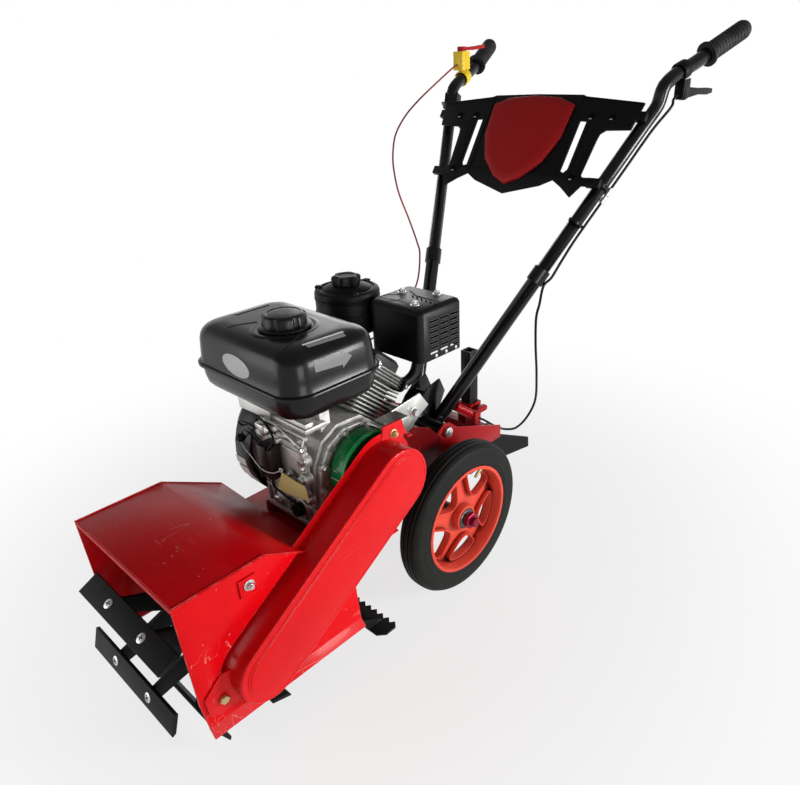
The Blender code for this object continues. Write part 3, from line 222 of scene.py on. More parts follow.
class Graph:
    """The node tree of a material or a world, built by expressions."""

    def __init__(self, tree: bpy.types.NodeTree) -> None:
        """Take over a tree and find its Principled shader, if it has one.

        Args:
            tree: The node tree of a material or a world.
        """
        self.tree = tree
        self.shader = tree.nodes.get("Principled BSDF")
        self.place = self.node("ShaderNodeTexCoord", out="Object")

    def node(self, kind: str, settings: dict | None = None, inputs: dict | None = None,
             out: str | int | None = None) -> Value:
        """Add any node.

        Args:
            kind: The node's type.
            settings: Its own settings, set first; "stops" are a ramp's places and colours.
            inputs: Values, numbers or colours by the input's name or number.
            out: The output that is wanted, or the first one.

        Returns:
            The output as a value.
        """
        made = self.tree.nodes.new(kind)
        for key, setting in (settings or {}).items():
            if key == "stops":
                self._fill_ramp(made.color_ramp, setting)
            else:
                setattr(made, key, setting)
        for key, given in (inputs or {}).items():
            self.feed(made.inputs[key], given)
        return Value(self, made.outputs[0 if out is None else out])

    @staticmethod
    def _fill_ramp(ramp: bpy.types.ColorRamp, stops: Sequence[tuple[float, Colour]]) -> None:
        """Give a ramp its stops.

        Args:
            ramp: The ramp of a Color Ramp node.
            stops: Its places and colours in order.
        """
        while len(ramp.elements) < len(stops):
            ramp.elements.new(1.0)
        for element, (place, colour) in zip(ramp.elements, stops):
            element.position = place
            element.color = (*colour, 1.0)

    def feed(self, socket: bpy.types.NodeSocket, given: object) -> None:
        """Link a value to an input, or set the input to a number or colour.

        Args:
            socket: The input.
            given: A value to link, or a number or colour to set.
        """
        if isinstance(given, Value):
            self.tree.links.new(given.socket, socket)
        elif isinstance(given, (tuple, list)) and socket.type == "RGBA":
            socket.default_value = (*given[:3], 1.0)
        else:
            socket.default_value = given

    def set(self, **inputs: object) -> None:
        """Feed the Principled shader's inputs, named with _ for a space."""
        for key, given in inputs.items():
            self.feed(self.shader.inputs[key.replace("_", " ")], given)

    def noise(self, scale: float, detail: float = 3.0, rough: float = 0.5, warp: float = 0.0,
              stretch: Point = (1.0, 1.0, 1.0)) -> Value:
        """Noise on the piece's own metres, stretched where asked.

        Args:
            scale: The noise's scale, per metre.
            detail: Its octaves.
            rough: Its roughness.
            warp: Its distortion.
            stretch: The scale of each axis before it.

        Returns:
            The noise, about 0 to 1.
        """
        place = self.place
        if tuple(stretch) != (1.0, 1.0, 1.0):
            place = self.node("ShaderNodeMapping", None, {"Vector": place, "Scale": tuple(stretch)})
        return self.node("ShaderNodeTexNoise", None, {"Vector": place, "Scale": scale, "Detail": detail,
                                                      "Roughness": rough, "Distortion": warp})

    def cells(self, scale: float) -> Value:
        """Cell distance on the piece's own metres."""
        return self.node("ShaderNodeTexVoronoi", None, {"Vector": self.place, "Scale": scale}, "Distance")

    def mix(self, share: object, first: object, second: object) -> Value:
        """Blend two colours.

        Args:
            share: The second colour's share, 0 to 1.
            first: The first colour.
            second: The second colour.

        Returns:
            The blended colour.
        """
        made = self.tree.nodes.new("ShaderNodeMix")
        made.data_type = "RGBA"
        self.feed(made.inputs["Factor"], share)
        self.feed(made.inputs[6], first)
        self.feed(made.inputs[7], second)
        return Value(self, made.outputs[2])

    def part(self, vector: Value, axis: str) -> Value:
        """One part of a vector."""
        return self.node("ShaderNodeSeparateXYZ", None, {"Vector": vector}, axis)

    def edge(self, radius: float, low: float = 0.02, high: float = 0.25) -> Value:
        """A mask of the outer and inner edges, from the rounded and the true normal.

        Args:
            radius: The radius that the edges are softened with.
            low: The softening at which the mask starts.
            high: The softening at which it is full.

        Returns:
            The mask, 0 to 1.
        """
        soft = self.node("ShaderNodeBevel", {"samples": 4}, {"Radius": radius})
        true = self.node("ShaderNodeNewGeometry", out="Normal")
        share = self.node("ShaderNodeVectorMath", {"operation": "DOT_PRODUCT"}, {0: soft, 1: true}, "Value")
        return (1.0 - share).step(low, high)

    def bump(self, height: Value, distance: float) -> Value:
        """A bumped normal from a height of 0 to 1 that is distance metres high."""
        return self.node("ShaderNodeBump", None, {"Height": height, "Distance": distance, "Strength": 1.0})

    def seen(self) -> Value:
        """1 for what the camera sees straight, in gloss or through glass, and 0 for light.

        Returns:
            The share as a value.
        """
        rays = self.node("ShaderNodeLightPath").socket.node.outputs
        camera, glossy, through = (Value(self, rays[f"Is {kind} Ray"])
                                   for kind in ("Camera", "Glossy", "Transmission"))
        return camera.most(glossy).most(through)


# ---------------------------------------------------------------- finishes


@dataclass(frozen=True)
class Finish:
    """The base of every finish: a name, the record's slot that it stands for, its colour and roughness."""

    name: str
    slot: Slot
    colour: Colour
    rough: float

    def material(self) -> bpy.types.Material:
        """The Blender material, made the first time it is asked for.

        Returns:
            The material.
        """
        found = bpy.data.materials.get("mat_" + self.name)
        if found:
            return found
        made = bpy.data.materials.new("mat_" + self.name)
        made.use_nodes = True
        self.paint(Graph(made.node_tree))
        return made

    def paint(self, graph: Graph) -> None:
        """Fill the material's nodes."""
        graph.set(Base_Color=self.colour, Roughness=self.rough)


@dataclass(frozen=True)
class Enamel(Finish):
    """Sprayed or baked paint on steel, with dust, faint runs, scratches and bare edges, and painted shade in its
    corners where asked.
    """

    deep: Colour = (0.3, 0.0, 0.0)
    bare: Colour = (0.35, 0.25, 0.2)
    wear: float = 0.5
    scratch: float = 0.0
    dust: float = 0.03
    coat: float = 0.05
    gloss: float = 0.1
    peel: float = 0.00006
    dust_colour: Colour = (0.42, 0.36, 0.32)
    # How strongly painted shade from ambient occlusion darkens corners and recesses.
    grime: float = 0.0

    def paint(self, graph: Graph) -> None:
        """Colour with thin places, worn edges and scratches under a clear gloss, darkened by painted shade in corners
        where asked.

        Args:
            graph: The material's graph.
        """
        cloud = graph.noise(9.0, 4.0, 0.6)
        colour = graph.mix(cloud.step(0.35, 0.75) * 0.6, self.colour, self.deep)
        dust = (graph.noise(26.0, 6.0, 0.7).step(0.48, 0.8) * graph.noise(160.0, 2.0).step(0.3, 0.7)) * self.dust
        colour = graph.mix(dust, colour, self.dust_colour)
        if self.grime > 0:
            # Painted shade: ambient occlusion darkens corners and recesses towards a near black of the deep colour.
            near = graph.node("ShaderNodeAmbientOcclusion", {"samples": 4}, {"Distance": 0.016}, "AO")
            colour = graph.mix((1.0 - near).step(0.1, 0.8) * self.grime, colour, tuple(c * 0.22 for c in self.deep))
        worn = graph.edge(0.0012) * graph.noise(55.0, 5.0, 0.7).step(0.46, 0.6) * self.wear
        rough = self.rough + dust * 0.5 + graph.noise(40.0, 3.0).step(0.3, 0.8) * 0.06
        if self.scratch > 0:
            for turn, stretch in ((31.0, (1.0, 0.08, 1.0)), (47.0, (0.1, 1.0, 0.6))):
                long_cut = graph.noise(turn, 2.0, 0.5, 0.5, stretch) - 0.5
                fine = 1.0 - (long_cut * long_cut).step(0.0, 0.000012)
                where = graph.noise(turn * 0.22, 2.0).step(0.57, 0.66)
                worn = worn.most(fine * where * self.scratch)
            chips = graph.noise(140.0, 2.0, 0.6).step(0.705, 0.72) * graph.noise(12.0, 2.0).step(0.5, 0.7)
            worn = worn.most(chips * self.scratch)
        colour = graph.mix(worn.held(), colour, self.bare)
        graph.set(Base_Color=colour, Roughness=(rough + worn * 0.25).held(), Coat_Roughness=0.06,
                  Specular_IOR_Level=self.gloss,
                  Normal=graph.bump(graph.noise(420.0, 2.0, 0.5), self.peel))
        graph.set(Coat_Weight=(self.coat - dust * 1.2 - worn).held())


@dataclass(frozen=True)
class BareMetal(Finish):
    """Plated, turned or brushed metal with stains in its corners."""

    dark: Colour = (0.2, 0.19, 0.18)
    grain: Point = (1.0, 1.0, 1.0)
    stain: float = 0.4

    def paint(self, graph: Graph) -> None:
        """Metal whose brightness and gloss vary with grain and stain.

        Args:
            graph: The material's graph.
        """
        lines = graph.noise(300.0, 3.0, 0.6, 0.0, self.grain)
        cloud = graph.noise(45.0, 5.0, 0.65).step(0.42, 0.72)
        inner = graph.edge(0.002, 0.05, 0.5)
        darkening = (cloud * 0.6 + inner * 0.4) * self.stain
        graph.set(Base_Color=graph.mix(darkening.held(), graph.mix(lines * 0.25, self.colour, self.dark), self.dark),
                  Metallic=1.0 - darkening * 0.35, Roughness=(self.rough + lines * 0.12 + darkening * 0.3).held(),
                  Normal=graph.bump(lines, 0.00004))


@dataclass(frozen=True)
class Casting(Finish):
    """Die-cast alloy: a fine grainy skin, darkened by painted shade in its corners and by clouds of oily soil, with
    rubbed edges.
    """

    # The dark colour of both the painted shade in corners and the oily soil.
    oil: Colour = (0.05, 0.046, 0.04)
    # How strongly painted shade and soil darken it.
    grime: float = 0.6
    shine: Colour = (0.75, 0.75, 0.73)
    depth: float = 0.012

    def paint(self, graph: Graph) -> None:
        """Grainy alloy, darker in its corners by painted shade and in clouds of soil, and brighter along its edges.

        Args:
            graph: The material's graph.
        """
        grains = graph.cells(900.0)
        cloud = graph.noise(30.0, 6.0, 0.7).step(0.4, 0.75)
        # Painted shade: ambient occlusion darkens corners, recesses and the gaps between fins; the clouds below add
        # real soil.
        near = graph.node("ShaderNodeAmbientOcclusion", {"samples": 4}, {"Distance": self.depth}, "AO")
        darkening = ((1.0 - near).step(0.15, 0.85) * 0.9 + cloud * 0.35) * self.grime
        colour = graph.mix(graph.noise(120.0, 3.0), self.colour, tuple(c * 0.62 for c in self.colour))
        colour = graph.mix(darkening.held(), colour, self.oil)
        rubbed = graph.edge(0.001, 0.02, 0.2) * graph.noise(60.0, 4.0, 0.7).step(0.35, 0.6) * 0.8
        graph.set(Base_Color=graph.mix(rubbed.held(), colour, self.shine), Metallic=(0.55 - darkening * 0.4).held(),
                  Roughness=(self.rough + grains * 0.15 + cloud * 0.12 - rubbed * 0.1).held(),
                  Normal=graph.bump(grains + graph.noise(260.0, 3.0), 0.00012))


@dataclass(frozen=True)
class Moulded(Finish):
    """Moulded plastic with a faint grain, scuffs and dust."""

    grain: float = 700.0
    depth: float = 0.00005
    dust: float = 0.1
    scuff: Colour = (0.16, 0.16, 0.165)
    coat: float = 0.0
    gloss: float = 0.2

    def paint(self, graph: Graph) -> None:
        """Plastic, greyer on its edges and where dust lies.

        Args:
            graph: The material's graph.
        """
        worn = graph.edge(0.001) * graph.noise(70.0, 4.0, 0.7).step(0.4, 0.7) * 0.45
        dust = graph.noise(22.0, 6.0, 0.72).step(0.45, 0.8) * graph.noise(240.0, 2.0).step(0.35, 0.7) * self.dust
        colour = graph.mix((worn + dust).held(), self.colour, self.scuff)
        graph.set(Base_Color=colour, Roughness=(self.rough + dust * 0.4 + graph.noise(60.0, 3.0) * 0.1).held(),
                  Normal=graph.bump(graph.cells(self.grain), self.depth), Coat_Weight=self.coat,
                  Coat_Roughness=0.12, Specular_IOR_Level=self.gloss)


@dataclass(frozen=True)
class Rubber(Finish):
    """Rubber with bloom and soil."""

    bloom: Colour = grey(0.13)
    soil: float = 0.4

    def paint(self, graph: Graph) -> None:
        """Dull rubber with a grey bloom that comes and goes.

        Args:
            graph: The material's graph.
        """
        cloud = graph.noise(16.0, 6.0, 0.7).step(0.38, 0.78)
        specks = graph.noise(330.0, 3.0, 0.6).step(0.5, 0.75)
        share = (cloud * 0.55 + specks * 0.25) * self.soil
        graph.set(Base_Color=graph.mix(share.held(), self.colour, self.bloom), Specular_IOR_Level=0.12,
                  Roughness=(self.rough + cloud * 0.1).held(),
                  Normal=graph.bump(graph.noise(520.0, 4.0, 0.7), 0.00012))


RED = Enamel("red_enamel", Slot.RED, (0.68, 0.0015, 0.005), 0.3, deep=(0.5, 0.001, 0.004), bare=(0.8, 0.36, 0.3),
             wear=0.8, scratch=0.7)
RED_CASE = Enamel("red_enamel_case", Slot.RED, (0.66, 0.003, 0.006), 0.3, deep=(0.54, 0.002, 0.005),
                  bare=(0.62, 0.2, 0.12), wear=0.7, scratch=0.25, coat=0.08, gloss=0.14)
# Painted shade: a much darker copy of the red paint for the side plate, which lies in shade, with its corners darkened
# too.
RED_PAINTED_SHADE = Enamel("red_enamel_painted_shade", Slot.RED, (0.115, 0.001, 0.0025), 0.3, deep=(0.075, 0.001, 0.002),
                   bare=(0.4, 0.16, 0.12), wear=0.7, scratch=0.5, dust=0.04, coat=0.08, gloss=0.14, grime=0.6)
# Painted shade: the frame's red is a darker copy of the hood's red, and its corners are darkened by ambient occlusion.
RED_FRAME_SHADED = Enamel("red_enamel_frame_painted_shade", Slot.RED, (0.33, 0.0015, 0.004), 0.32, deep=(0.2, 0.001, 0.003),
                   bare=(0.6, 0.22, 0.16), wear=0.6, scratch=0.4, grime=0.5)
BLACK = Enamel("black_enamel", Slot.BLACK, (0.0035, 0.0035, 0.004), 0.18, deep=(0.006, 0.006, 0.007),
               bare=(0.16, 0.15, 0.14), wear=0.25, coat=0.15, gloss=0.18, dust_colour=(0.12, 0.115, 0.11))
TANK = Enamel("tank_enamel", Slot.BLACK, (0.004, 0.0045, 0.005), 0.22, deep=(0.007, 0.008, 0.009), bare=grey(0.16),
              wear=0.25, dust=0.04, gloss=0.2, peel=0.00002, dust_colour=grey(0.12))
FORGED = Enamel("forged_black", Slot.BLACK_STEEL, (0.009, 0.0105, 0.0095), 0.48, deep=(0.005, 0.006, 0.006),
                bare=(0.36, 0.37, 0.36), wear=0.9, dust=0.12, coat=0.0, peel=0.0001, dust_colour=(0.09, 0.1, 0.09))
HEAT_BLACK = Enamel("heat_black", Slot.BLACK_STEEL, (0.0035, 0.0035, 0.004), 0.36, deep=grey(0.006),
                    bare=(0.24, 0.235, 0.22), wear=0.6, dust=0.06, coat=0.0, gloss=0.16,
                    dust_colour=(0.09, 0.09, 0.08))
GREEN = Enamel("green_enamel", Slot.GREEN, (0.004, 0.235, 0.052), 0.22, deep=(0.002, 0.13, 0.03),
               bare=(0.5, 0.6, 0.52), wear=0.7, coat=0.2, gloss=0.2)
# Painted highlight: a lighter copy of the green paint for the drum's lip.
GREEN_LIP_HIGHLIGHT = Enamel("green_enamel_painted_highlight", Slot.GREEN, (0.014, 0.46, 0.11), 0.25, deep=(0.008, 0.3, 0.07),
                   bare=(0.55, 0.7, 0.58), wear=0.8, coat=0.2, gloss=0.25)
# Painted shade: ambient occlusion darkens the rim's web near its walls and in its corners.
RIM = Enamel("rim_enamel", Slot.RIM, (0.68, 0.07, 0.042), 0.42, deep=(0.46, 0.03, 0.018), bare=(0.75, 0.36, 0.28),
             wear=0.6, dust=0.05, gloss=0.15, grime=1.0)
ZINC = BareMetal("bright_zinc", Slot.BRIGHT, (0.62, 0.62, 0.6), 0.28)
STEEL = BareMetal("turned_steel", Slot.BRIGHT, (0.5, 0.5, 0.49), 0.3, grain=(1.0, 0.05, 0.05))
DARK_STEEL = BareMetal("oiled_steel", Slot.BRIGHT, (0.16, 0.155, 0.15), 0.34)
BRASS = BareMetal("yellow_zinc", Slot.BRIGHT, (0.62, 0.47, 0.24), 0.32, dark=(0.22, 0.15, 0.07))
VIOLET = BareMetal("red_anodised", Slot.BRIGHT, (0.3, 0.02, 0.06), 0.3, dark=(0.08, 0.006, 0.015))
# Painted shade: ambient occlusion darkens the castings' corners and the gaps between the fins, besides their soil.
ALLOY = Casting("cast_skin", Slot.ALLOY, (0.66, 0.65, 0.62), 0.36, grime=0.72, depth=0.009)
ALLOY_DARK = Casting("cast_head", Slot.ALLOY, (0.035, 0.035, 0.034), 0.42, grime=0.9, shine=(0.3, 0.3, 0.29))
ALLOY_FINS = Casting("cast_fins", Slot.ALLOY, (0.46, 0.46, 0.44), 0.36, grime=0.9)
PLASTIC = Moulded("black_moulding", Slot.PLASTIC, (0.0035, 0.0035, 0.004), 0.4, dust=0.06, scuff=grey(0.09),
                  gloss=0.1)
GLOSS_PLASTIC = Moulded("black_gloss_moulding", Slot.PLASTIC, (0.004, 0.0045, 0.005), 0.24, depth=0.00002, dust=0.05,
                        scuff=grey(0.1))
BROWN_PLASTIC = Moulded("brown_moulding", Slot.PLASTIC, (0.016, 0.008, 0.008), 0.34, scuff=(0.12, 0.09, 0.085))
YELLOW = Moulded("yellow_moulding", Slot.YELLOW, (0.86, 0.58, 0.02), 0.32, dust=0.05, scuff=(0.5, 0.35, 0.1),
                 gloss=0.3)
RED_PLASTIC = Moulded("red_moulding", Slot.RED_PLASTIC, (0.38, 0.012, 0.014), 0.4, dust=0.05,
                      scuff=(0.35, 0.08, 0.06), gloss=0.12)
CORD_RED = Moulded("red_wire_skin", Slot.RED_PLASTIC, (0.3, 0.04, 0.05), 0.38, dust=0.15, scuff=(0.5, 0.3, 0.28))
PALE_LABEL = Moulded("bare_label", Slot.PLASTIC, grey(0.62), 0.35, scuff=grey(0.3), gloss=0.3)
ARROW_LABEL = Moulded("bare_side_label", Slot.BLACK, grey(0.17), 0.4, dust=0.2, scuff=grey(0.4), gloss=0.3)
FOIL = BareMetal("bright_foil", Slot.BLACK, (0.92, 0.92, 0.91), 0.38, stain=0.0)
GREY_LABEL = Moulded("bare_foil", Slot.BLACK, (0.27, 0.27, 0.265), 0.3, dust=0.2, scuff=grey(0.3), gloss=0.3)
YELLOW_TAG = Moulded("bare_tag", Slot.PLASTIC, (0.72, 0.6, 0.24), 0.36, dust=0.2, scuff=(0.75, 0.72, 0.5), gloss=0.3)
TYRE = Rubber("tyre_skin", Slot.TYRE, (0.0065, 0.0068, 0.0062), 0.55, bloom=(0.034, 0.036, 0.03), soil=0.5)
GRIP = Rubber("grip_skin", Slot.GRIP, grey(0.012), 0.5, bloom=grey(0.1), soil=0.6)
WORN_LIP = Moulded("worn_lip", Slot.BLACK_STEEL, (0.055, 0.055, 0.052), 0.45, dust=0.3, scuff=(0.3, 0.3, 0.28))
# Painted shade: a near black put in holes, slots and recesses, where shade falls.
HOLE_SHADE = Moulded("painted_hole_shade", Slot.BLACK_STEEL, grey(0.002), 0.8, dust=0.0, gloss=0.05)


# ---------------------------------------------------------------- shaping


def turned(degrees: float, axis: str = "Z") -> Matrix:
    """A turn about an axis."""
    return Matrix.Rotation(math.radians(degrees), 4, axis)


def ray(degrees: float) -> Vector:
    """The direction at an angle in the machine's side view, from +Y towards +Z."""
    angle = math.radians(degrees)
    return Vector((0, math.cos(angle), math.sin(angle)))


def circle(radius: float, count: int) -> list[tuple[float, float]]:
    """Points of a circle about the origin."""
    return [(radius * math.cos(math.tau * k / count), radius * math.sin(math.tau * k / count)) for k in range(count)]


def ring(middle: Vector, count: int, reach: Callable[[float], float]) -> list[Vector]:
    """A level ring about a point, whose radius hangs on the angle."""
    return [middle + Vector((math.cos(turn), math.sin(turn), 0)) * reach(turn)
            for turn in (math.tau * k / count for k in range(count))]


def span(first: Vector, last: Vector, steps: int) -> list[Vector]:
    """Evenly spaced points from one to another."""
    return [first.lerp(last, k / steps) for k in range(steps + 1)]


def stand(x: float, y: float, z: float, out: Point = UP, spin: float = 0.0) -> Matrix:
    """The matrix that stands a shape made along +Z on a point counted from the axle."""
    return seat(at(x, y, z), out, spin)


def seat(place: Point, out: Point = UP, spin: float = 0.0) -> Matrix:
    """The matrix that stands a shape made along +Z on a place.

    Args:
        place: Where its origin goes, in the frame.
        out: The direction that +Z takes.
        spin: A turn about that direction, in degrees.

    Returns:
        The matrix.
    """
    turn = Vector(out).to_track_quat("Z", "Y").to_matrix().to_4x4()
    return Matrix.Translation(Vector(place)) @ turn @ turned(spin)


def smooth_run(points: Iterable[Point], count: int) -> list[Vector]:
    """A smooth run of points through the given ones.

    Args:
        points: The points that it goes through.
        count: The number of steps.

    Returns:
        The run's points.
    """
    knots = [Vector(p) for p in points]
    knots = [knots[0] * 2 - knots[1]] + knots + [knots[-1] * 2 - knots[-2]]
    spans = len(knots) - 3
    run = []
    for k in range(count + 1):
        place = min(k * spans / count, spans - 1e-9)
        i, t = int(place), place - int(place)
        a, b, c, d = knots[i:i + 4]
        run.append(0.5 * ((2 * b) + (c - a) * t + (2 * a - 5 * b + 4 * c - d) * t * t
                          + (3 * b - a - 3 * c + d) * t ** 3))
    return run


def rounded(half_x: float, half_y: float, radius: float, steps: int = 8) -> list[tuple[float, float]]:
    """A rectangle's outline about the origin, with round corners.

    Args:
        half_x: Half its length.
        half_y: Half its width.
        radius: The corners' radius.
        steps: The steps round each corner.

    Returns:
        The outline's points.
    """
    points = []
    for quarter, (sx, sy) in enumerate(((1, 1), (-1, 1), (-1, -1), (1, -1))):
        for k in range(steps + 1):
            angle = math.radians(90 * (quarter + k / steps))
            points.append((sx * (half_x - radius) + radius * math.cos(angle),
                           sy * (half_y - radius) + radius * math.sin(angle)))
    return points


class Form:
    """A shape that grows by bmesh operators until it becomes a piece."""

    def __init__(self) -> None:
        """Start with nothing."""
        self.bm = bmesh.new()

    def take(self, part: bmesh.types.BMesh, place: Matrix | None = None) -> "Form":
        """Add a finished part, put in its place.

        Args:
            part: The part, which is used up.
            place: Where it goes, or where it is.

        Returns:
            This form.
        """
        if place is not None:
            bmesh.ops.transform(part, matrix=place, verts=part.verts)
        carrier = bpy.data.meshes.new("carrier")
        part.to_mesh(carrier)
        part.free()
        self.bm.from_mesh(carrier)
        bpy.data.meshes.remove(carrier)
        return self

    @staticmethod
    def round_edges(part: bmesh.types.BMesh, width: float, segments: int = 2) -> None:
        """Bevel every sharp edge.

        Args:
            part: The part, changed in place.
            width: The bevel's width, or 0 for none.
            segments: The bevel's segments.
        """
        if width <= 0:
            return
        sharp = [e for e in part.edges if e.is_manifold and e.calc_face_angle(0.0) > SHARP_ANGLE]
        bmesh.ops.bevel(part, geom=sharp, offset=width, segments=segments, profile=0.5, affect="EDGES",
                        clamp_overlap=True, material=-1)

    def block(self, low: Point, high: Point, width: float = 0.0006, place: Matrix | None = None) -> "Form":
        """A box between two corners with round edges.

        Args:
            low: Its lowest corner.
            high: Its highest corner.
            width: The bevel's width.
            place: Where it goes, or none if the corners are in the frame.

        Returns:
            This form.
        """
        part = bmesh.new()
        size = Vector(high) - Vector(low)
        middle = (Vector(high) + Vector(low)) / 2
        bmesh.ops.create_cube(part, size=1.0)
        bmesh.ops.scale(part, vec=size, verts=part.verts)
        self.round_edges(part, min(width, min(size) * 0.3))
        bmesh.ops.translate(part, vec=middle, verts=part.verts)
        return self.take(part, place)

    def drum(self, place: Matrix, radius: float, height: float, width: float = 0.0006, steps: int = 28,
             top: float | None = None) -> "Form":
        """A round or many-sided post that stands on its place.

        Args:
            place: Where it stands.
            radius: Its radius.
            height: Its height.
            width: The bevel's width.
            steps: The sides round it.
            top: The radius at its top, where it isn't the same.

        Returns:
            This form.
        """
        part = bmesh.new()
        bmesh.ops.create_cone(part, cap_ends=True, cap_tris=False, segments=steps, radius1=radius,
                              radius2=radius if top is None else top, depth=height)
        bmesh.ops.translate(part, vec=(0, 0, height / 2), verts=part.verts)
        self.round_edges(part, width)
        return self.take(part, place)

    def lathe(self, place: Matrix, profile: Sequence[tuple[float, float]], steps: int = 48) -> "Form":
        """Turn a profile of (radius, height) about the place's own Z.

        Args:
            place: The axis it is turned about.
            profile: The (radius, height) points in order.
            steps: The steps round it.

        Returns:
            This form.
        """
        part = bmesh.new()
        verts = [part.verts.new((r, 0.0, h)) for r, h in profile]
        edges = [part.edges.new(pair) for pair in zip(verts, verts[1:])]
        bmesh.ops.spin(part, geom=verts + edges, cent=(0, 0, 0), axis=(0, 0, 1), angle=math.tau, steps=steps,
                       use_merge=True, use_duplicate=False)
        bmesh.ops.remove_doubles(part, verts=part.verts, dist=1e-6)
        bmesh.ops.recalc_face_normals(part, faces=part.faces)
        return self.take(part, place)

    def slab(self, place: Matrix, outline: Sequence[tuple[float, float]], thick: float,
             width: float = 0.0005, segments: int = 2) -> "Form":
        """A plate with an outline in its place's own X and Y, thick along its Z.

        Args:
            place: Where its outline lies.
            outline: The outline's points.
            thick: Its thickness.
            width: The bevel's width.
            segments: The bevel's segments.

        Returns:
            This form.
        """
        part = bmesh.new()
        face = part.faces.new([part.verts.new((x, y, 0.0)) for x, y in outline])
        grown = bmesh.ops.extrude_face_region(part, geom=[face])
        risen = [v for v in grown["geom"] if isinstance(v, bmesh.types.BMVert)]
        bmesh.ops.translate(part, vec=(0, 0, thick), verts=risen)
        bmesh.ops.recalc_face_normals(part, faces=part.faces)
        self.round_edges(part, min(width, thick * 0.4), segments)
        return self.take(part, place)

    def tube(self, points: Iterable[Point], radius: float, fine: int = 3) -> "Form":
        """A round bar along a run of points with closed ends.

        Args:
            points: The run's points.
            radius: Its radius.
            fine: How fine its round section is.

        Returns:
            This form.
        """
        run = [Vector(p) for p in points]
        curve = bpy.data.curves.new("carrier", "CURVE")
        curve.dimensions = "3D"
        curve.bevel_depth = radius
        curve.bevel_resolution = fine
        curve.use_fill_caps = True
        spline = curve.splines.new("POLY")
        spline.points.add(len(run) - 1)
        for point, place in zip(spline.points, run):
            point.co = (*place, 1.0)
        carrier = bpy.data.objects.new("carrier", curve)
        mesh = bpy.data.meshes.new_from_object(carrier)
        part = bmesh.new()
        part.from_mesh(mesh)
        bmesh.ops.remove_doubles(part, verts=part.verts, dist=1e-6)
        bmesh.ops.recalc_face_normals(part, faces=part.faces)
        bpy.data.objects.remove(carrier)
        bpy.data.curves.remove(curve)
        bpy.data.meshes.remove(mesh)
        return self.take(part)

    def wire(self, knots: Iterable[Point], count: int, radius: float, fine: int = 3) -> "Form":
        """A round bar on a smooth run through points counted from the axle."""
        return self.tube(smooth_run([at(*knot) for knot in knots], count), radius, fine)

    def blocks(self, *blocks: tuple[Point, Point, float]) -> "Form":
        """Boxes, each from its lowest and highest corners counted from the axle and its edges' width.

        Args:
            blocks: Their lowest corners, highest corners and bevel widths.

        Returns:
            This form.
        """
        for low, high, width in blocks:
            self.block(at(*low), at(*high), width)
        return self

    def loft(self, rings: Sequence[Sequence[Point]], closed: bool = True) -> "Form":
        """Skin rings of equal count, one after the other, and close both ends where asked.

        Args:
            rings: The rings, as points in the frame.
            closed: Whether both ends get a face.

        Returns:
            This form.
        """
        part = bmesh.new()
        rows = [[part.verts.new(point) for point in ring] for ring in rings]
        count = len(rows[0])
        for low, high in zip(rows, rows[1:]):
            for i in range(count):
                j = (i + 1) % count
                part.faces.new((low[i], low[j], high[j], high[i]))
        if closed:
            part.faces.new(rows[0])
            part.faces.new(rows[-1])
        bmesh.ops.recalc_face_normals(part, faces=part.faces)
        return self.take(part)

    def patch(self, corners: Sequence[Point], lay: Callable[[Vector], Vector], across: int = 8,
              down: int = 3) -> "Form":
        """A thin sheet between four corners, each of whose points is laid on a surface.

        Args:
            corners: The four corners in turn.
            lay: What moves a point of the flat sheet onto the surface.
            across: The steps from the first corner to the second.
            down: The steps from the second corner to the third.

        Returns:
            This form.
        """
        part = bmesh.new()
        bmesh.ops.create_grid(part, x_segments=across, y_segments=down, size=0.5)
        a, b, c, d = (Vector(corner) for corner in corners)
        for vert in part.verts:
            u, v = vert.co.x + 0.5, vert.co.y + 0.5
            vert.co = lay(a.lerp(b, u).lerp(d.lerp(c, u), v))
        return self.take(part)

    def bolt(self, place: Point, out: Point, across: float = 0.01, tall: float = 0.0055,
             washer: float = 0.0, stub: float = 0.0, spin: float = 10.0) -> "Form":
        """A hexagon head or nut with its washer and, if asked, the bolt's end through it.

        Args:
            place: The point of the surface that it is tightened on.
            out: The direction away from that surface.
            across: The width across the flats.
            tall: The head's height.
            washer: The washer's radius, or 0 for none.
            stub: How far the thread stands out of the nut.
            spin: The head's turn in degrees.

        Returns:
            This form.
        """
        up = seat(place, out, spin)
        if washer > 0:
            self.drum(up, washer, WASHER_THICK, 0.0003, 24)
            up = up @ Matrix.Translation((0, 0, WASHER_THICK))
        corner = across / math.sqrt(3)
        self.lathe(up, [(0.0, 0.0), (corner * 0.94, 0.0), (corner, tall * 0.12), (corner, tall * 0.8),
                        (corner * 0.86, tall), (0.0, tall)], 6)
        if stub > 0:
            self.drum(up @ Matrix.Translation((0, 0, tall * 0.5)), across * 0.3, tall * 0.5 + stub, 0.0005, 16)
        return self

    def copy_of(self, node: str, width: float, segments: int) -> "Form":
        """The shape of a CAD node, merged, with its edges rounded.

        Args:
            node: The CAD node.
            width: The bevel's width.
            segments: The bevel's segments.

        Returns:
            This form.
        """
        part = bmesh.new()
        part.from_mesh(FRAME["nodes"][node].data)
        bmesh.ops.remove_doubles(part, verts=part.verts, dist=2e-5)
        bmesh.ops.dissolve_limit(part, angle_limit=math.radians(0.6), verts=part.verts, edges=part.edges)
        self.round_edges(part, width, segments)
        return self.take(part)

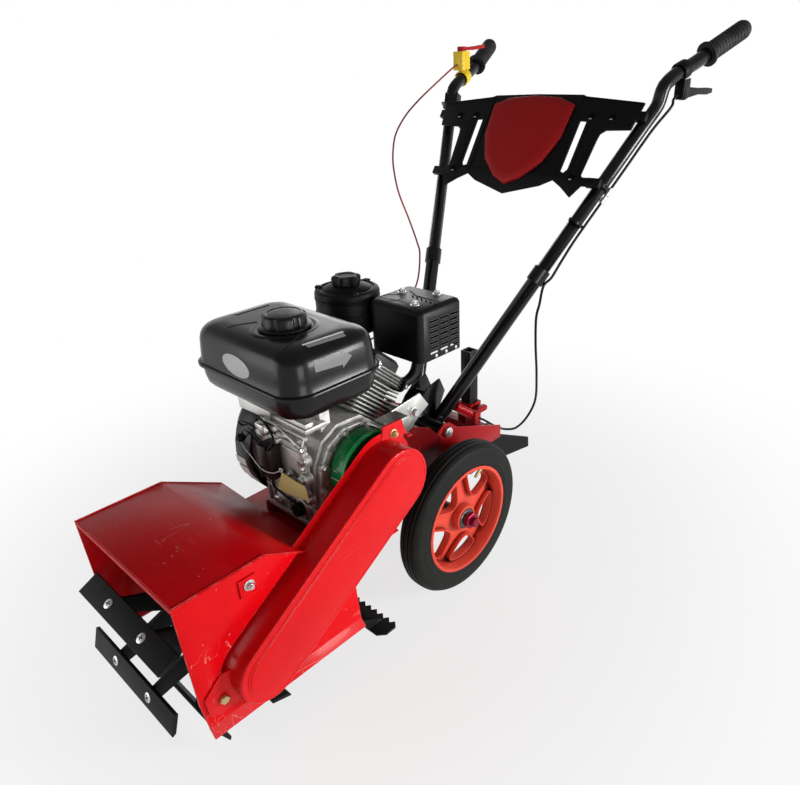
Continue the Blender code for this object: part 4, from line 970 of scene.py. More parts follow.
    def thing(self, name: str, finish: Finish) -> bpy.types.Object:
        """Turn the form into a smooth object with a finish.

        Args:
            name: Its name.
            finish: Its finish.

        Returns:
            The object, linked into the scene.
        """
        mesh = bpy.data.meshes.new(name)
        self.bm.to_mesh(mesh)
        self.bm.free()
        mesh.shade_smooth()
        mesh.materials.append(finish.material())
        obj = bpy.data.objects.new(name, mesh)
        bpy.context.scene.collection.objects.link(obj)
        return obj

    def piece(self, name: str, finish: Finish, body: Body = Body.MACHINE, slot: Slot | None = None,
              smooth: float = 35.0, node: str = "") -> None:
        """Turn the form into a named piece that rides on a body.

        Args:
            name: The piece's name.
            finish: Its finish.
            body: The body that it rides on.
            slot: Not used.
            smooth: Edges sharper than this many degrees stay sharp.
            node: The CAD node that it stands for, if any.
        """
        obj = self.thing(name, finish)
        obj.data.set_sharp_from_angle(angle=math.radians(smooth))
        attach(obj, body.value)
        if node:
            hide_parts(node)
        LOG.info("%s rides on %s", name, body.value)

    def bent_piece(self, name: str, finish: Finish, body: Body, start: Vector, end: Vector,
                   node: str) -> bpy.types.Object:
        """Turn the form into a piece left in place in the frame, and hide the CAD node that it stands for.

        Args:
            name: The piece's name.
            finish: Its finish.
            body: Not used.
            start: Not used.
            end: Not used.
            node: The CAD node that it stands for.

        Returns:
            The piece's object.
        """
        obj = self.thing(name, finish)
        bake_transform(obj)
        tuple(start)
        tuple(end)
        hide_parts(node)
        return obj


def reshape(node: str, finish: Finish, width: float = 0.0006, body: Body = Body.MACHINE, segments: int = 2,
            slot: Slot | None = None) -> None:
    """Stand for a CAD node with its own shape, its edges rounded."""
    Form().copy_of(node, width, segments).piece("fine_" + node, finish, body, slot, node=node)


def reshape_all(body: Body, *rows: tuple[str, Finish, float] | tuple[str, Finish, float, int]) -> None:
    """Stand for the CAD nodes of one body, from their names, finishes, edge widths and segments."""
    for node, finish, width, *segments in rows:
        reshape(node, finish, width, body, *segments)


# ---------------------------------------------------------------- sub-assemblies


@dataclass
class Sheetwork:
    """The hood, its side panels and what is bolted to them."""

    half: float = 0.145
    top: float = 0.315
    front: float = -0.559
    line: tuple = ((-0.559, 0.315), (-0.419, 0.315), (-0.317, 0.262), (-0.278, 0.208))

    def build(self) -> None:
        """Make every piece of the sheetwork."""
        reshape_all(Body.MACHINE, ("hood", RED, 0.0009), ("side_panel_r", RED, 0.0007), ("side_panel_l", RED, 0.0007))
        self.seams()
        self.fasteners()

    def seams(self) -> None:
        """The weld beads along the hood's sides and the folded lip at its front."""
        beads = Form()
        for side in (-1, 1):
            corners = [at(side * (self.half - 0.0026), y, z + 0.0002) for y, z in self.line]
            for first, last in zip(corners, corners[1:]):
                beads.tube(span(first, last, 12), 0.0011, 2)
        beads.piece("hood_weld_beads", RED)
        lip, reach = Form(), self.half - 0.002
        for drop in (0.0008, 0.0056):
            lip.tube([at(x, self.front + 0.0012, self.top - drop) for x in (-reach, reach)], 0.0019, 3)
        lip.blocks(((-reach, self.front, self.top - 0.0058), (reach, self.front + 0.0024, self.top - 0.0006), 0.0003))
        lip.piece("hood_front_lip", RED)

    def fasteners(self) -> None:
        """The ear's bolt, and the guard's tab with its bolt, on the right panel."""
        Form().bolt(at(self.half + 0.0034, -0.522, 0.13), RIGHT, 0.013, 0.0065, spin=5).piece("ear_bolt", BRASS)
        tab = Form().block(at(self.half + 0.0004, -0.466, 0.27), at(self.half + 0.0032, -0.438, 0.3), 0.0008)
        tab.piece("guard_tab", RED)
        bolt = Form().bolt(at(self.half + 0.0033, -0.451, 0.287), RIGHT, 0.01, 0.005, washer=0.0085, stub=0.003,
                           spin=20)
        bolt.piece("guard_tab_bolt", ZINC)


@dataclass
class Rotor:
    """The digging rotor: its shaft, stars and eight tilted blades."""

    middle: tuple = (-0.455, 0.148)
    tip: float = 0.148
    blade: tuple = (0.124, 0.036, 0.006)
    lean: float = -33.0
    first: float = 150.0
    count: int = 8
    star: float = 0.051

    def build(self) -> None:
        """Make every piece of the rotor."""
        reshape("rotor_shaft", FORGED, 0.0006, body=Body.ROTOR)
        for number in range(self.count):
            reshape(f"blade_{number + 1}", FORGED, 0.001, body=Body.ROTOR, segments=3)
            self.screws(number)
        reshape("rotor_sprocket", STEEL, 0.0, body=Body.ROTOR, slot=Slot.BLACK_STEEL)

    def screws(self, number: int) -> None:
        """The two screws that hold one blade on its stars, with the crosses in their heads drawn as dark strips of
        painted shade.

        Args:
            number: The blade's number, from 0.
        """
        lean = math.radians(self.lean)
        angle = self.first + 360.0 / self.count * number
        up = ray(angle + self.lean)
        reach = self.tip - 0.5 * self.blade[1] * abs(math.sin(lean)) - 0.5 * self.blade[2]
        face = at(0, *self.middle) + ray(angle) * reach + up * (self.blade[2] / 2)
        heads, cross_shade = Form(), Form()
        for side in (-1, 1):
            place = seat(face + Vector((side * self.star, 0, 0)), up, 20.0 * number + 15)
            heads.lathe(place, [(0.0, 0.0), (0.0078, 0.0), (0.0078, 0.0006), (0.0066, 0.0014), (0.0, 0.0019)], 28)
            for turn in (0, 90):
                cross_shade.block((-0.0042, -0.0008, 0.0012), (0.0042, 0.0008, 0.0021), 0.0001, place @ turned(turn))
        heads.piece(f"blade_{number + 1}_screws", ZINC, Body.ROTOR)
        cross_shade.piece(f"blade_{number + 1}_screw_slot_shade", HOLE_SHADE, Body.ROTOR)


@dataclass
class ChainCase:
    """The chain case on the right side with its chain and cover."""

    low: tuple = (-0.455, 0.148)
    top: tuple = (-0.178, 0.325)
    radii: tuple = (0.052, 0.057)
    face: float = 0.176

    def build(self) -> None:
        """Make every piece of the chain case."""
        reshape_all(Body.MACHINE, ("chain_case", RED_CASE, 0.0011, 3), ("chain_cover", RED_CASE, 0.001, 3))
        self.backing()
        self.bead()
        chain = FRAME["nodes"]["drive_chain"].data.materials
        chain.clear()
        chain.append(STEEL.material())
        bolt = Form().bolt(at(0.1286, -0.146, 0.384), RIGHT, 0.01, 0.005, washer=0.0078, stub=0.003, spin=15)
        bolt.piece("case_tab_bolt", BRASS)

    def outline(self, grow: float, steps: int = 24) -> list[tuple[float, float]]:
        """The case's outline in Y and Z, grown by a margin.

        Args:
            grow: The margin outside the case.
            steps: The steps round each end.

        Returns:
            The outline's points as (y, z).
        """
        low, top = Vector(self.low), Vector(self.top)
        run = top - low
        lean = math.acos((self.radii[0] - self.radii[1]) / run.length)
        base = math.atan2(run.y, run.x)
        points = []
        for middle, radius, start, sweep in ((low, self.radii[0] + grow, base + lean, math.tau - 2 * lean),
                                             (top, self.radii[1] + grow, base - lean, 2 * lean)):
            for k in range(steps + 1):
                angle = start + sweep * k / steps
                points.append((middle.x + radius * math.cos(angle), middle.y + radius * math.sin(angle)))
        return points

    def backing(self) -> None:
        """The flange behind the case that closes the gap round it in the side panel."""
        inner, outer = self.outline(-0.012), self.outline(0.012)
        rows = [[at(x, y, z) for y, z in line] for x, line in ((0.1262, inner), (0.1272, inner), (0.1272, outer),
                                                               (0.1262, outer), (0.1262, inner))]
        Form().loft(rows, False).piece("case_backing", RED_CASE)

    def bead(self) -> None:
        """The pressed line that runs round the cover's face."""
        form = Form()
        for inset, reach, lift in ((-0.0125, 0.0021, -0.0008), (-0.004, 0.0042, -0.0037)):
            rows = []
            for k in range(9):
                angle = math.pi * k / 8
                rows.append([at(self.face + lift + reach * math.sin(angle), y, z)
                             for y, z in self.outline(inset - reach * math.cos(angle), 30)])
            form.loft(rows, False)
        form.piece("cover_bead", RED_CASE, smooth=60)


@dataclass
class Chassis:
    """The frame, its drag bar, axle, pivot and stake."""

    rail: float = 0.082
    stake: tuple = (0.205, 0.0125)
    stop: tuple = (0.033, 0.1785, 0.2532)
    stop_run: tuple = (-0.0075, -0.0268, 0.022)
    plate: tuple = ((-0.104, 0.224), (0.018, 0.224), (0.018, 0.29), (-0.014, 0.324), (-0.056, 0.342),
                    (-0.088, 0.346), (-0.104, 0.33))

    def build(self) -> None:
        """Make every piece of the chassis."""
        # The frame's darker red is painted shade.
        reshape_all(Body.MACHINE, ("frame", RED_FRAME_SHADED, 0.0009), ("drag_bar", FORGED, 0.0005),
                    ("axle", DARK_STEEL, 0.0006), ("pivot_bolt", ZINC, 0.0006))
        reshape("ridger", HEAT_BLACK, 0.0009, Body.STAKE)
        reshape("depth_bolt", RED_FRAME_SHADED, 0.0009, Body.CLAMP)
        self.side_plate()
        self.adjuster()
        self.axle_ends()
        self.welds()

    def side_plate(self) -> None:
        """The upright red plate on the rail's outer face, between the drum and the wheel, painted in a much darker red
        as painted shade.
        """
        rings = [[at(x, y, z) for y, z in self.plate] for x in (0.0816, 0.0846)]
        Form().loft(rings).piece("side_plate", RED_PAINTED_SHADE)

    def adjuster(self) -> None:
        """The brass nuts and threaded nose that the clutch cable's end is set with."""
        run = Vector(self.stop_run).normalized()
        foot = at(*self.stop)
        nuts = Form()
        for along in (0.0012, 0.0078):
            nuts.bolt(foot - run * (along - 0.0105), -run, 0.0125, 0.0052, spin=20 * along)
        nuts.lathe(seat(foot + run * 0.004, -run), [(0.0043, 0.0), (0.0043, 0.0088), (0.0031, 0.0094), (0.0, 0.0094)])
        nuts.piece("cable_nuts", BRASS)

    def axle_ends(self) -> None:
        """The red-dyed bolts at the axle's ends."""
        for side in (-1, 1):
            caps = Form().bolt(at(side * 0.1655, 0, 0.15), (side, 0, 0), 0.029, 0.0085, spin=12)
            caps.drum(stand(side * 0.174, 0, 0.15, (side, 0, 0)), 0.0086, 0.0086, 0.0012, 24)
            caps.piece(f"axle_bolt_{'r' if side > 0 else 'l'}", VIOLET)

    def welds(self) -> None:
        """Weld beads where the side plates meet the rails and the stake's sleeve meets its member."""
        beads = Form()
        y, half = self.stake
        for side in (-1, 1):
            x, steps = side * (self.rail + 0.0002), 14
            for start, stop in ((-0.028, 0.03), (0.085, 0.15)):
                beads.tube([at(x, start + (stop - start) * k / steps, 0.2262 + 0.0003 * math.sin(5.1 * k))
                            for k in range(steps + 1)], 0.0013, 2)
            beads.tube([at(side * (half + 0.0052), y - half - 0.004 + 0.029 * k / 9, 0.227) for k in range(10)],
                       0.0012, 2)
        beads.piece("frame_weld_beads", RED_FRAME_SHADED)


@dataclass
class Engine:
    """The block, its covers and fittings, and the parts that the crank turns."""

    crank: tuple = (-0.178, 0.325)
    lean: float = 50.0
    cover: float = 0.069
    cover_middle: tuple = (-0.176, 0.312)
    cover_foot: tuple = ((-0.265, 0.2266), (-0.265, 0.3), (-0.258, 0.35), (-0.238, 0.385), (-0.205, 0.402),
                         (-0.083, 0.32), (-0.078, 0.2266))
    cover_head: tuple = ((0.072, 0.03), (0.072, -0.038))
    rope_run: tuple = (-0.152, 0.4146, 0.4206)
    fins: tuple = (0.1408, 0.1464, 0.152, 0.1576)
    front: float = -0.265
    bosses: tuple = ((0.03, 0.262, 0.018, 0.0075), (-0.034, 0.252, 0.013, 0.006), (0.052, 0.328, 0.011, 0.013),
                     (0.04, 0.306, 0.012, 0.01), (0.054, 0.288, 0.009, 0.008), (0.012, 0.3, 0.009, 0.0065),
                     (-0.06, 0.3, 0.01, 0.006), (0.054, 0.362, 0.011, 0.011), (-0.012, 0.376, 0.0085, 0.006))
    pipes: tuple = (((0.022, -0.27, 0.396), (0.058, -0.2715, 0.383), 0.0062),
                    ((0.05, -0.27, 0.378), (0.051, -0.272, 0.342), 0.007),
                    ((0.032, -0.27, 0.314), (0.058, -0.27, 0.298), 0.006),
                    ((-0.06, -0.268, 0.386), (-0.018, -0.268, 0.394), 0.005))
    wiring: tuple = (
        ((-0.04, -0.29, 0.372), (-0.058, -0.297, 0.388), (-0.082, -0.292, 0.376), (-0.098, -0.284, 0.34)),
        ((-0.012, -0.29, 0.316), (-0.018, -0.288, 0.296), (-0.01, -0.279, 0.278), (0.02, -0.275, 0.268)),
        ((-0.014, -0.292, 0.364), (0.002, -0.288, 0.388), (-0.02, -0.282, 0.404), (-0.052, -0.276, 0.408)),
        ((-0.104, -0.276, 0.372), (-0.092, -0.29, 0.392), (-0.066, -0.29, 0.398), (-0.044, -0.284, 0.39)),
        ((-0.03, -0.29, 0.37), (-0.034, -0.294, 0.382), (-0.05, -0.292, 0.388), (-0.072, -0.286, 0.384)))

    def build(self) -> None:
        """Make every piece of the engine."""
        reshape_all(Body.MACHINE, ("crankcase", ALLOY, 0.0016, 3), ("side_cover", ALLOY, 0.0012, 3),
                    ("cylinder", ALLOY_FINS, 0.0), ("rocker_cover", ALLOY_DARK, 0.0012, 3))
        reshape_all(Body.CRANK, ("flywheel", ALLOY, 0.0006), ("crankshaft", STEEL, 0.0006),
                    ("clutch_drum", GREEN, 0.001, 3))
        reshape_all(Body.MACHINE, ("carburettor", ALLOY, 0.0012), ("mount_bracket", ZINC, 0.0006),
                    ("blower_housing", GLOSS_PLASTIC, 0.0008), ("recoil_starter", GLOSS_PLASTIC, 0.001))
        self.rope()
        reshape("recoil_grip", PLASTIC, 0.002, Body.RECOIL)
        self.head_fins()
        self.cover_details()
        self.front_castings()
        self.front_fittings()
        self.drum_details()
        self.starter_details()
        self.linkage()
        self.bracket_bolts()

    def rope(self) -> None:
        """The starter's rope, a short straight tube left in place in the frame."""
        x, bottom, top = self.rope_run
        low, high = at(x, self.crank[0], bottom), at(x, self.crank[0], top)
        rope = Form().tube(span(low, high, 12), 0.0019, 2)
        rope.bent_piece("fine_rope", PLASTIC, Body.RECOIL, low, high, "starter_rope")

    def side_line(self, share: float) -> list[Vector]:
        """The side cover's outline in Y and Z, scaled about its middle.

        Args:
            share: The scale, where 1 is the cover's own edge.

        Returns:
            The corners as (y, z).
        """
        crank, lean = Vector(self.crank), Matrix.Rotation(math.radians(self.lean), 2)
        points = [Vector(p) for p in self.cover_foot]
        points[5:5] = [crank + lean @ Vector(p) for p in self.cover_head]
        middle = Vector(self.cover_middle)
        return [middle + (p - middle) * share for p in points]

    def head_fins(self) -> None:
        """The dark fins round the cylinder's head, set along its slanted axis."""
        place = stand(0.002, *self.crank, ray(self.lean))
        form = Form()
        for along in self.fins:
            form.slab(place @ Matrix.Translation((0, 0, along)), rounded(0.053, 0.048, 0.011, 5), 0.0024, 0.0008)
        form.piece("head_fins", ALLOY_DARK)

    def cover_details(self) -> None:
        """The cover's raised rim, its ribs, and the bolts with their bosses all round."""
        rim, bolts, ribs = Form(), Form(), Form()
        run = [at(self.cover + 0.0004, y, z) for y, z in self.side_line(0.905)]
        for first, last in zip(run, run[1:] + run[:1]):
            rim.tube(span(first, last, 8), 0.0021, 2)
        places = self.side_line(0.86)
        for y, z in places + [(places[0] + places[1]) / 2]:
            spot = at(self.cover - 0.0004, y, z)
            rim.lathe(seat(spot, RIGHT), [(0.0088, 0.0), (0.008, 0.004), (0.0072, 0.0046), (0.0, 0.0046)], 24)
            bolts.bolt(spot + Vector((0.0042, 0, 0)), RIGHT, 0.01, 0.0052, washer=0.0068, spin=37 * y * 1000)
        middle = at(self.cover, *self.crank)
        for turn in range(8, 368, 40):
            ribs.tube([middle + ray(turn) * (0.031 + 0.004 * k) for k in range(9)], 0.0018, 2)
        rim.piece("cover_rim", ALLOY)
        bolts.piece("cover_bolts", ZINC)
        ribs.piece("cover_ribs", ALLOY)

    def front_castings(self) -> None:
        """The ribs, bosses, pipes and brackets cast on the block's front face."""
        face = self.front - 0.0002
        cast = Form()
        for k, x in enumerate((-0.066, -0.052, -0.01, 0.004, 0.018, 0.032, 0.046)):
            top = 0.306 + 0.004 * (k % 3)
            cast.blocks(((x - 0.0016, face - 0.0046, 0.236), (x + 0.0016, face + 0.003, top), 0.0009))
        cast.blocks(((-0.07, face - 0.006, 0.229), (0.059, face + 0.003, 0.238), 0.0016),
                    ((-0.07, face - 0.0052, 0.27), (0.059, face + 0.003, 0.2745), 0.0014))
        cast.slab(stand(-0.004, face + 0.0006, 0.346, FRONT), rounded(0.062, 0.034, 0.01), 0.0034, 0.0012)
        cast.slab(stand(0.02, face - 0.0024, 0.344, FRONT), rounded(0.034, 0.026, 0.012), 0.003, 0.0012)
        for x, z, radius, tall in self.bosses:
            cast.lathe(stand(x, face + 0.001, z, FRONT),
                       [(radius + 0.0016, 0.0), (radius, 0.0014), (radius - 0.0012, tall - 0.001),
                        (radius - 0.0024, tall), (0.0, tall)], 28)
        for low, high, radius in self.pipes:
            first, out = at(*low), Vector(high) - Vector(low)
            steps = ((0.0, 0.0), (1.0, 0.42), (1.18, 0.46), (1.18, 0.6), (1.0, 0.64), (0.96, 1.0), (0.0, 1.0))
            profile = [(radius * across, out.length * along) for across, along in steps]
            cast.lathe(seat(first, out), profile[:1] + [(radius, 0.0008)] + profile[1:], 24)
        cast.wire(((-0.012, -0.268, 0.386), (0.004, -0.2705, 0.3905), (0.024, -0.271, 0.395)), 12, 0.0048)
        cast.blocks(((-0.044, -0.264, 0.404), (0.056, -0.22, 0.413), 0.003),
                    ((-0.04, -0.26, 0.4), (0.052, -0.242, 0.42), 0.0036))
        cast.tube([at(-0.05, -0.266, 0.401), at(0.06, -0.266, 0.401)], 0.003)
        cast.piece("block_castings", ALLOY)

    def front_fittings(self) -> None:
        """The bolts, the bright lever and the oil plug on the block's front, and the switch box."""
        face = self.front - 0.0002
        bright, black = Form(), Form()
        for k, (x, z, radius, tall) in enumerate(self.bosses[1:]):
            bright.bolt(at(x, face + 0.001 - tall, z), FRONT, radius * 1.15, 0.0048, washer=radius * 0.78, spin=23 * k)
        lever = ((-0.04, 0.016), (-0.036, -0.01), (0.034, -0.016), (0.036, 0.006), (0.012, 0.02))
        bright.slab(stand(-0.062, -0.272, 0.423, (0.15, -1, 0.1)), lever, 0.0016, 0.0005)
        bright.lathe(stand(-0.033, -0.274, 0.39, (0, -1, 0.2)),
                     [(0.0, 0.0), (0.009, 0.0), (0.009, 0.007), (0.006, 0.009), (0.0, 0.009)], 24)
        bright.blocks(((-0.05, -0.286, 0.382), (-0.03, -0.274, 0.402), 0.0016))
        black.lathe(stand(0.03, face - 0.0065, 0.262, (0, -1, 0.15)),
                    [(0.0105, 0.0), (0.0125, 0.003), (0.0125, 0.01), (0.0105, 0.013), (0.0, 0.013)], 10)
        bright.piece("block_bolts", ZINC)
        black.piece("oil_plug", PLASTIC)
        box = Form().blocks(((-0.0385, -0.293, 0.308), (-0.009, -0.2655, 0.366), 0.003),
                            ((-0.04, -0.296, 0.306), (-0.036, -0.2655, 0.37), 0.001),
                            ((-0.037, -0.296, 0.33), (-0.018, -0.2925, 0.37), 0.0012),
                            ((-0.04, -0.29, 0.366), (-0.006, -0.2655, 0.37), 0.001))
        box.piece("fine_switch_box", BROWN_PLASTIC, node="switch_box")

    def drum_details(self) -> None:
        """The drum's lip in a lighter green, a painted highlight, and the lines scraped on its face."""
        lip = Form().lathe(stand(0.104, *self.crank, RIGHT),
                           [(0.0652, 0.0), (0.0664, 0.001), (0.0666, 0.0052), (0.0658, 0.0068), (0.064, 0.007),
                            (0.0612, 0.006), (0.0612, 0.0)], 72)
        lip.piece("drum_lip", GREEN_LIP_HIGHLIGHT, Body.CRANK, smooth=50)
        mark = Form()
        for turn, start, stop in ((-184, 0.0815, 0.1035), (-196, 0.086, 0.094)):
            reach = ray(turn) * 0.065
            mark.tube([at(x, *self.crank) + reach for x in (start, (start + stop) / 2, stop)], 0.0008, 2)
        mark.piece("drum_scrape", PALE_LABEL, Body.CRANK, slot=Slot.GREEN)

    def starter_details(self) -> None:
        """The starter's ribs and screws, and the two bare labels on the fan housing."""
        ribs, screws = Form(), Form()
        for turn in range(0, 360, 15):
            ribs.tube([at(x, *self.crank) + ray(turn) * far for x, far in ((-0.1622, 0.048), (-0.159, 0.074))],
                      0.0017, 2)
        for turn in (40, 130, 220, 310):
            screws.bolt(at(-0.1252, *self.crank) + ray(turn) * 0.1035, LEFT, 0.008, 0.0045, washer=0.0062)
        ribs.lathe(stand(-0.1636, *self.crank, LEFT), [(0.03, 0.0), (0.029, 0.0016), (0.024, 0.002), (0.0, 0.002)])
        ribs.piece("starter_ribs", GLOSS_PLASTIC)
        screws.piece("housing_screws", ZINC)

        def lay(point: Vector) -> Vector:
            """Put a point of (x, angle in degrees) on the fan housing's rim."""
            return at(point.x, *self.crank) + ray(180.0 + point.y) * 0.1134

        pale = Form()
        for near, far in ((3, 11), (13, 26)):
            pale.patch(((-0.119, far, 0), (-0.09, far, 0), (-0.09, near, 0), (-0.119, near, 0)), lay, 8, 10)
        pale.piece("starter_labels", PALE_LABEL)

    def linkage(self) -> None:
        """The thin rods and leads on the block's front, and the bare tag on its string."""
        rods, leads = Form(), Form()
        rods.wire(((0.058, -0.268, 0.404), (0.06, -0.2775, 0.385), (0.056, -0.279, 0.352)), 16, 0.0014)
        rods.wire(((-0.012, -0.271, 0.402), (0.024, -0.279, 0.404), (0.059, -0.2775, 0.39)), 14, 0.0014)
        for x, z in ((0.059, 0.386), (0.056, 0.352), (0.0195, 0.329)):
            rods.bolt(at(x, -0.2765, z), FRONT, 0.0085, 0.004, washer=0.0062, stub=0.002, spin=900 * x)
        rods.piece("governor_rods", STEEL)
        for k, route in enumerate(self.wiring):
            leads.wire(route, 22, 0.0015 + 0.0003 * (k % 3))
        leads.lathe(stand(-0.1, -0.28, 0.356, (0.2, -1, 0.2)),
                    [(0.0, 0.0), (0.007, 0.0), (0.007, 0.012), (0.004, 0.015), (0.0, 0.015)], 20)
        leads.piece("engine_leads", PLASTIC)
        string = Form().wire(((-0.1016, -0.288, 0.3504), (-0.076, -0.296, 0.348), (-0.0537, -0.299, 0.342),
                              (-0.03, -0.299, 0.328), (-0.008, -0.294, 0.326), (0.0077, -0.288, 0.3333)),
                             30, 0.0008, 2)
        string.lathe(stand(0.0085, -0.286, 0.3345, (0.3, -1, 0.2)),
                     [(0.0022, 0.0), (0.004, 0.0012), (0.0022, 0.0024)], 16)
        string.piece("tag_string", PALE_LABEL)

        def lay(point: Vector) -> Vector:
            """Curl the tag a little."""
            return Vector((point.x, point.y - 0.004 * math.cos((point.x - 0.04) * 26.0), point.z))

        tag = Form().patch([at(x, -0.2835, z) for x, z in ((0.0099, 0.3314), (-0.0131, 0.2887), (0.076, 0.303),
                                                           (0.069, 0.329))], lay, 8, 18)
        tag.piece("bare_tag_sheet", YELLOW_TAG)

    @staticmethod
    def bracket_bolts() -> None:
        """The bolts on the bright bracket and the red stay beside it."""
        bolts = Form().bolt(at(0.0936, -0.0613, 0.3775), RIGHT, 0.0125, 0.0065, washer=0.0095, spin=25)
        bolts.bolt(at(0.0992, -0.103, 0.377), RIGHT, 0.0115, 0.006, spin=5)
        bolts.piece("bracket_bolts", ZINC)
        stay = Form().blocks(((0.0938, -0.113, 0.364), (0.0965, -0.092, 0.389), 0.0008),
                             ((0.0938, -0.104, 0.354), (0.118, -0.093, 0.357), 0.0008),
                             ((0.0938, -0.104, 0.354), (0.0965, -0.093, 0.366), 0.0008))
        stay.lathe(stand(0.0962, -0.103, 0.377, RIGHT), [(0.0085, 0.0), (0.0085, 0.003), (0.0, 0.003)], 24)
        stay.piece("red_stay", RED)


@dataclass
class Tank:
    """The fuel tank with its labels and cap."""

    middle: tuple = (-0.004, -0.238)
    half: tuple = (0.133, 0.0945)
    top: float = 0.57
    cap_at: tuple = (0.016, -0.247)
    cap_r: float = 0.04
    strips: tuple = ((-0.1, -0.264, -0.195, 0.0), (0.0945, -0.278, -0.206, 0.0032))
    profile: tuple = (
        (0.4612, 0.03, 0.03), (0.463, 0.021, 0.033), (0.467, 0.014, 0.035), (0.474, 0.009, 0.037),
        (0.485, 0.0066, 0.038), (0.5005, 0.0052, 0.039), (0.5012, 0.001, 0.041), (0.502, 0.0002, 0.041),
        (0.506, 0.0002, 0.041), (0.507, 0.001, 0.041), (0.5076, 0.0044, 0.039), (0.509, 0.005, 0.039),
        (0.525, 0.0062, 0.038), (0.544, 0.0082, 0.036), (0.552, 0.0102, 0.035), (0.558, 0.0136, 0.033),
        (0.5625, 0.018, 0.031), (0.5655, 0.0235, 0.028), (0.5676, 0.03, 0.025), (0.569, 0.038, 0.022),
        (0.5696, 0.044, 0.02))

    def build(self) -> None:
        """Make every piece of the tank."""
        rings = []
        for z, inset, radius in self.profile:
            outline = rounded(self.half[0] - inset, self.half[1] - inset, radius, 9)
            rings.append([at(self.middle[0] + x, self.middle[1] + y, z) for x, y in outline])
        Form().loft(rings).piece("fine_tank", TANK, smooth=40, node="tank")
        self.labels()
        self.collar()
        self.cap()

    def skin(self, place: float, known: int) -> float:
        """The skin's height for an inset (known 1), or its inset for a height (known 0).

        Args:
            place: The known one of the two.
            known: Which one it is, as a place in the profile.

        Returns:
            The other one.
        """
        upper = self.profile[11:]
        for low, high in zip(upper, upper[1:]):
            if place <= high[known]:
                share = (place - low[known]) / (high[known] - low[known])
                return low[1 - known] + (high[1 - known] - low[1 - known]) * share
        return upper[-1][1 - known]

    def lay(self, point: Vector) -> Vector:
        """Lay a point of the plan on the tank's top."""
        inset = min(self.half[0] - abs(point.x - self.middle[0]), self.half[1] - abs(point.y - self.middle[1]))
        return at(point.x, point.y, self.skin(inset, 1) + 0.0007)

    def side_lay(self, point: Vector) -> Vector:
        """Lay a point of the side view on the tank's chain-case side."""
        return at(self.middle[0] + self.half[0] - self.skin(point.z, 0) + 0.0004, point.y, point.z)

    def labels(self) -> None:
        """The bare oval on the front, the bare foil strips on the top and the bare label on the side."""
        place = stand(-0.0054, -0.3261, 0.5269, (0, -1, 0.075), -5.0)
        oval = [(0.034 * x, 0.0158 * y) for x, y in circle(1.0, 48)]
        Form().slab(place, oval, 0.0006, 0.0002).piece("oval_label", PALE_LABEL, slot=Slot.BLACK)
        strips, foil = Form(), Form()
        for x, low, high, slant in self.strips:
            for form, start, end, short in ((strips, 0.0, 0.004, 0.0), (foil, 0.0046, 0.011, 0.003)):
                near, far = low + short, high - short
                form.patch([(x + start, near, 0), (x + end, near, 0), (x + end + slant, far, 0),
                            (x + start + slant, far, 0)], self.lay, 6, 16)
        strips.piece("bare_strips", FOIL)
        foil.piece("bare_foils", GREY_LABEL)
        arrow = Form().patch([(0, -0.28, 0.535), (0, -0.231, 0.531), (0, -0.231, 0.548), (0, -0.28, 0.552)],
                             self.side_lay, 16, 8)
        arrow.patch([(0, -0.231, 0.526), (0, -0.212, 0.5385), (0, -0.212, 0.5386), (0, -0.231, 0.553)],
                    self.side_lay, 10, 8)
        arrow.piece("side_label", ARROW_LABEL)

    def collar(self) -> None:
        """The pressed ring round the filler and the two creases beside it."""
        x, y = self.cap_at
        collar = Form().lathe(stand(x, y, self.top - 0.001), [(0.052, 0.0), (0.0505, 0.0009), (0.048, 0.0013),
                                                              (0.044, 0.0011), (0.0405, 0.0004)], 72)
        for side in (-1, 1):
            collar.tube([self.lay(Vector((x + side * (0.05 + 0.004 * k), y - 0.014 - 0.008 * k, 0)))
                         - Vector((0, 0, 0.0008)) for k in range(6)], 0.001, 2)
        collar.piece("filler_ring", TANK, smooth=60)

    def cap(self) -> None:
        """The screw cap with its grip flats and the ring on its top."""
        r, grip = self.cap_r, self.cap_r - 0.006
        levels = ((r - 0.0015, 0.0003, 0.0), (r - 0.0003, 0.0008, 0.0), (r - 0.0003, 0.003, 0.0),
                  (r - 0.002, 0.004, 0.0), (grip + 0.0012, 0.0044, 0.0026), (grip, 0.006, 0.0034),
                  (grip - 0.0006, 0.017, 0.0034), (grip - 0.002, 0.0196, 0.0028), (grip - 0.005, 0.0212, 0.0014),
                  (grip - 0.008, 0.0216, 0.0), (grip - 0.0095, 0.0208, 0.0), (grip - 0.011, 0.021, 0.0),
                  (0.013, 0.022, 0.0), (0.008, 0.0221, 0.0))
        form = Form().loft([ring(at(*self.cap_at, self.top + rise), 160, lambda turn: radius - depth
                                 * max(0.0, math.cos(turn * 6.0 + 0.5) - 0.55) / 0.45)
                            for radius, rise, depth in levels])
        form.piece("fine_fuel_cap", GLOSS_PLASTIC, Body.CAP, smooth=28, node="fuel_cap")


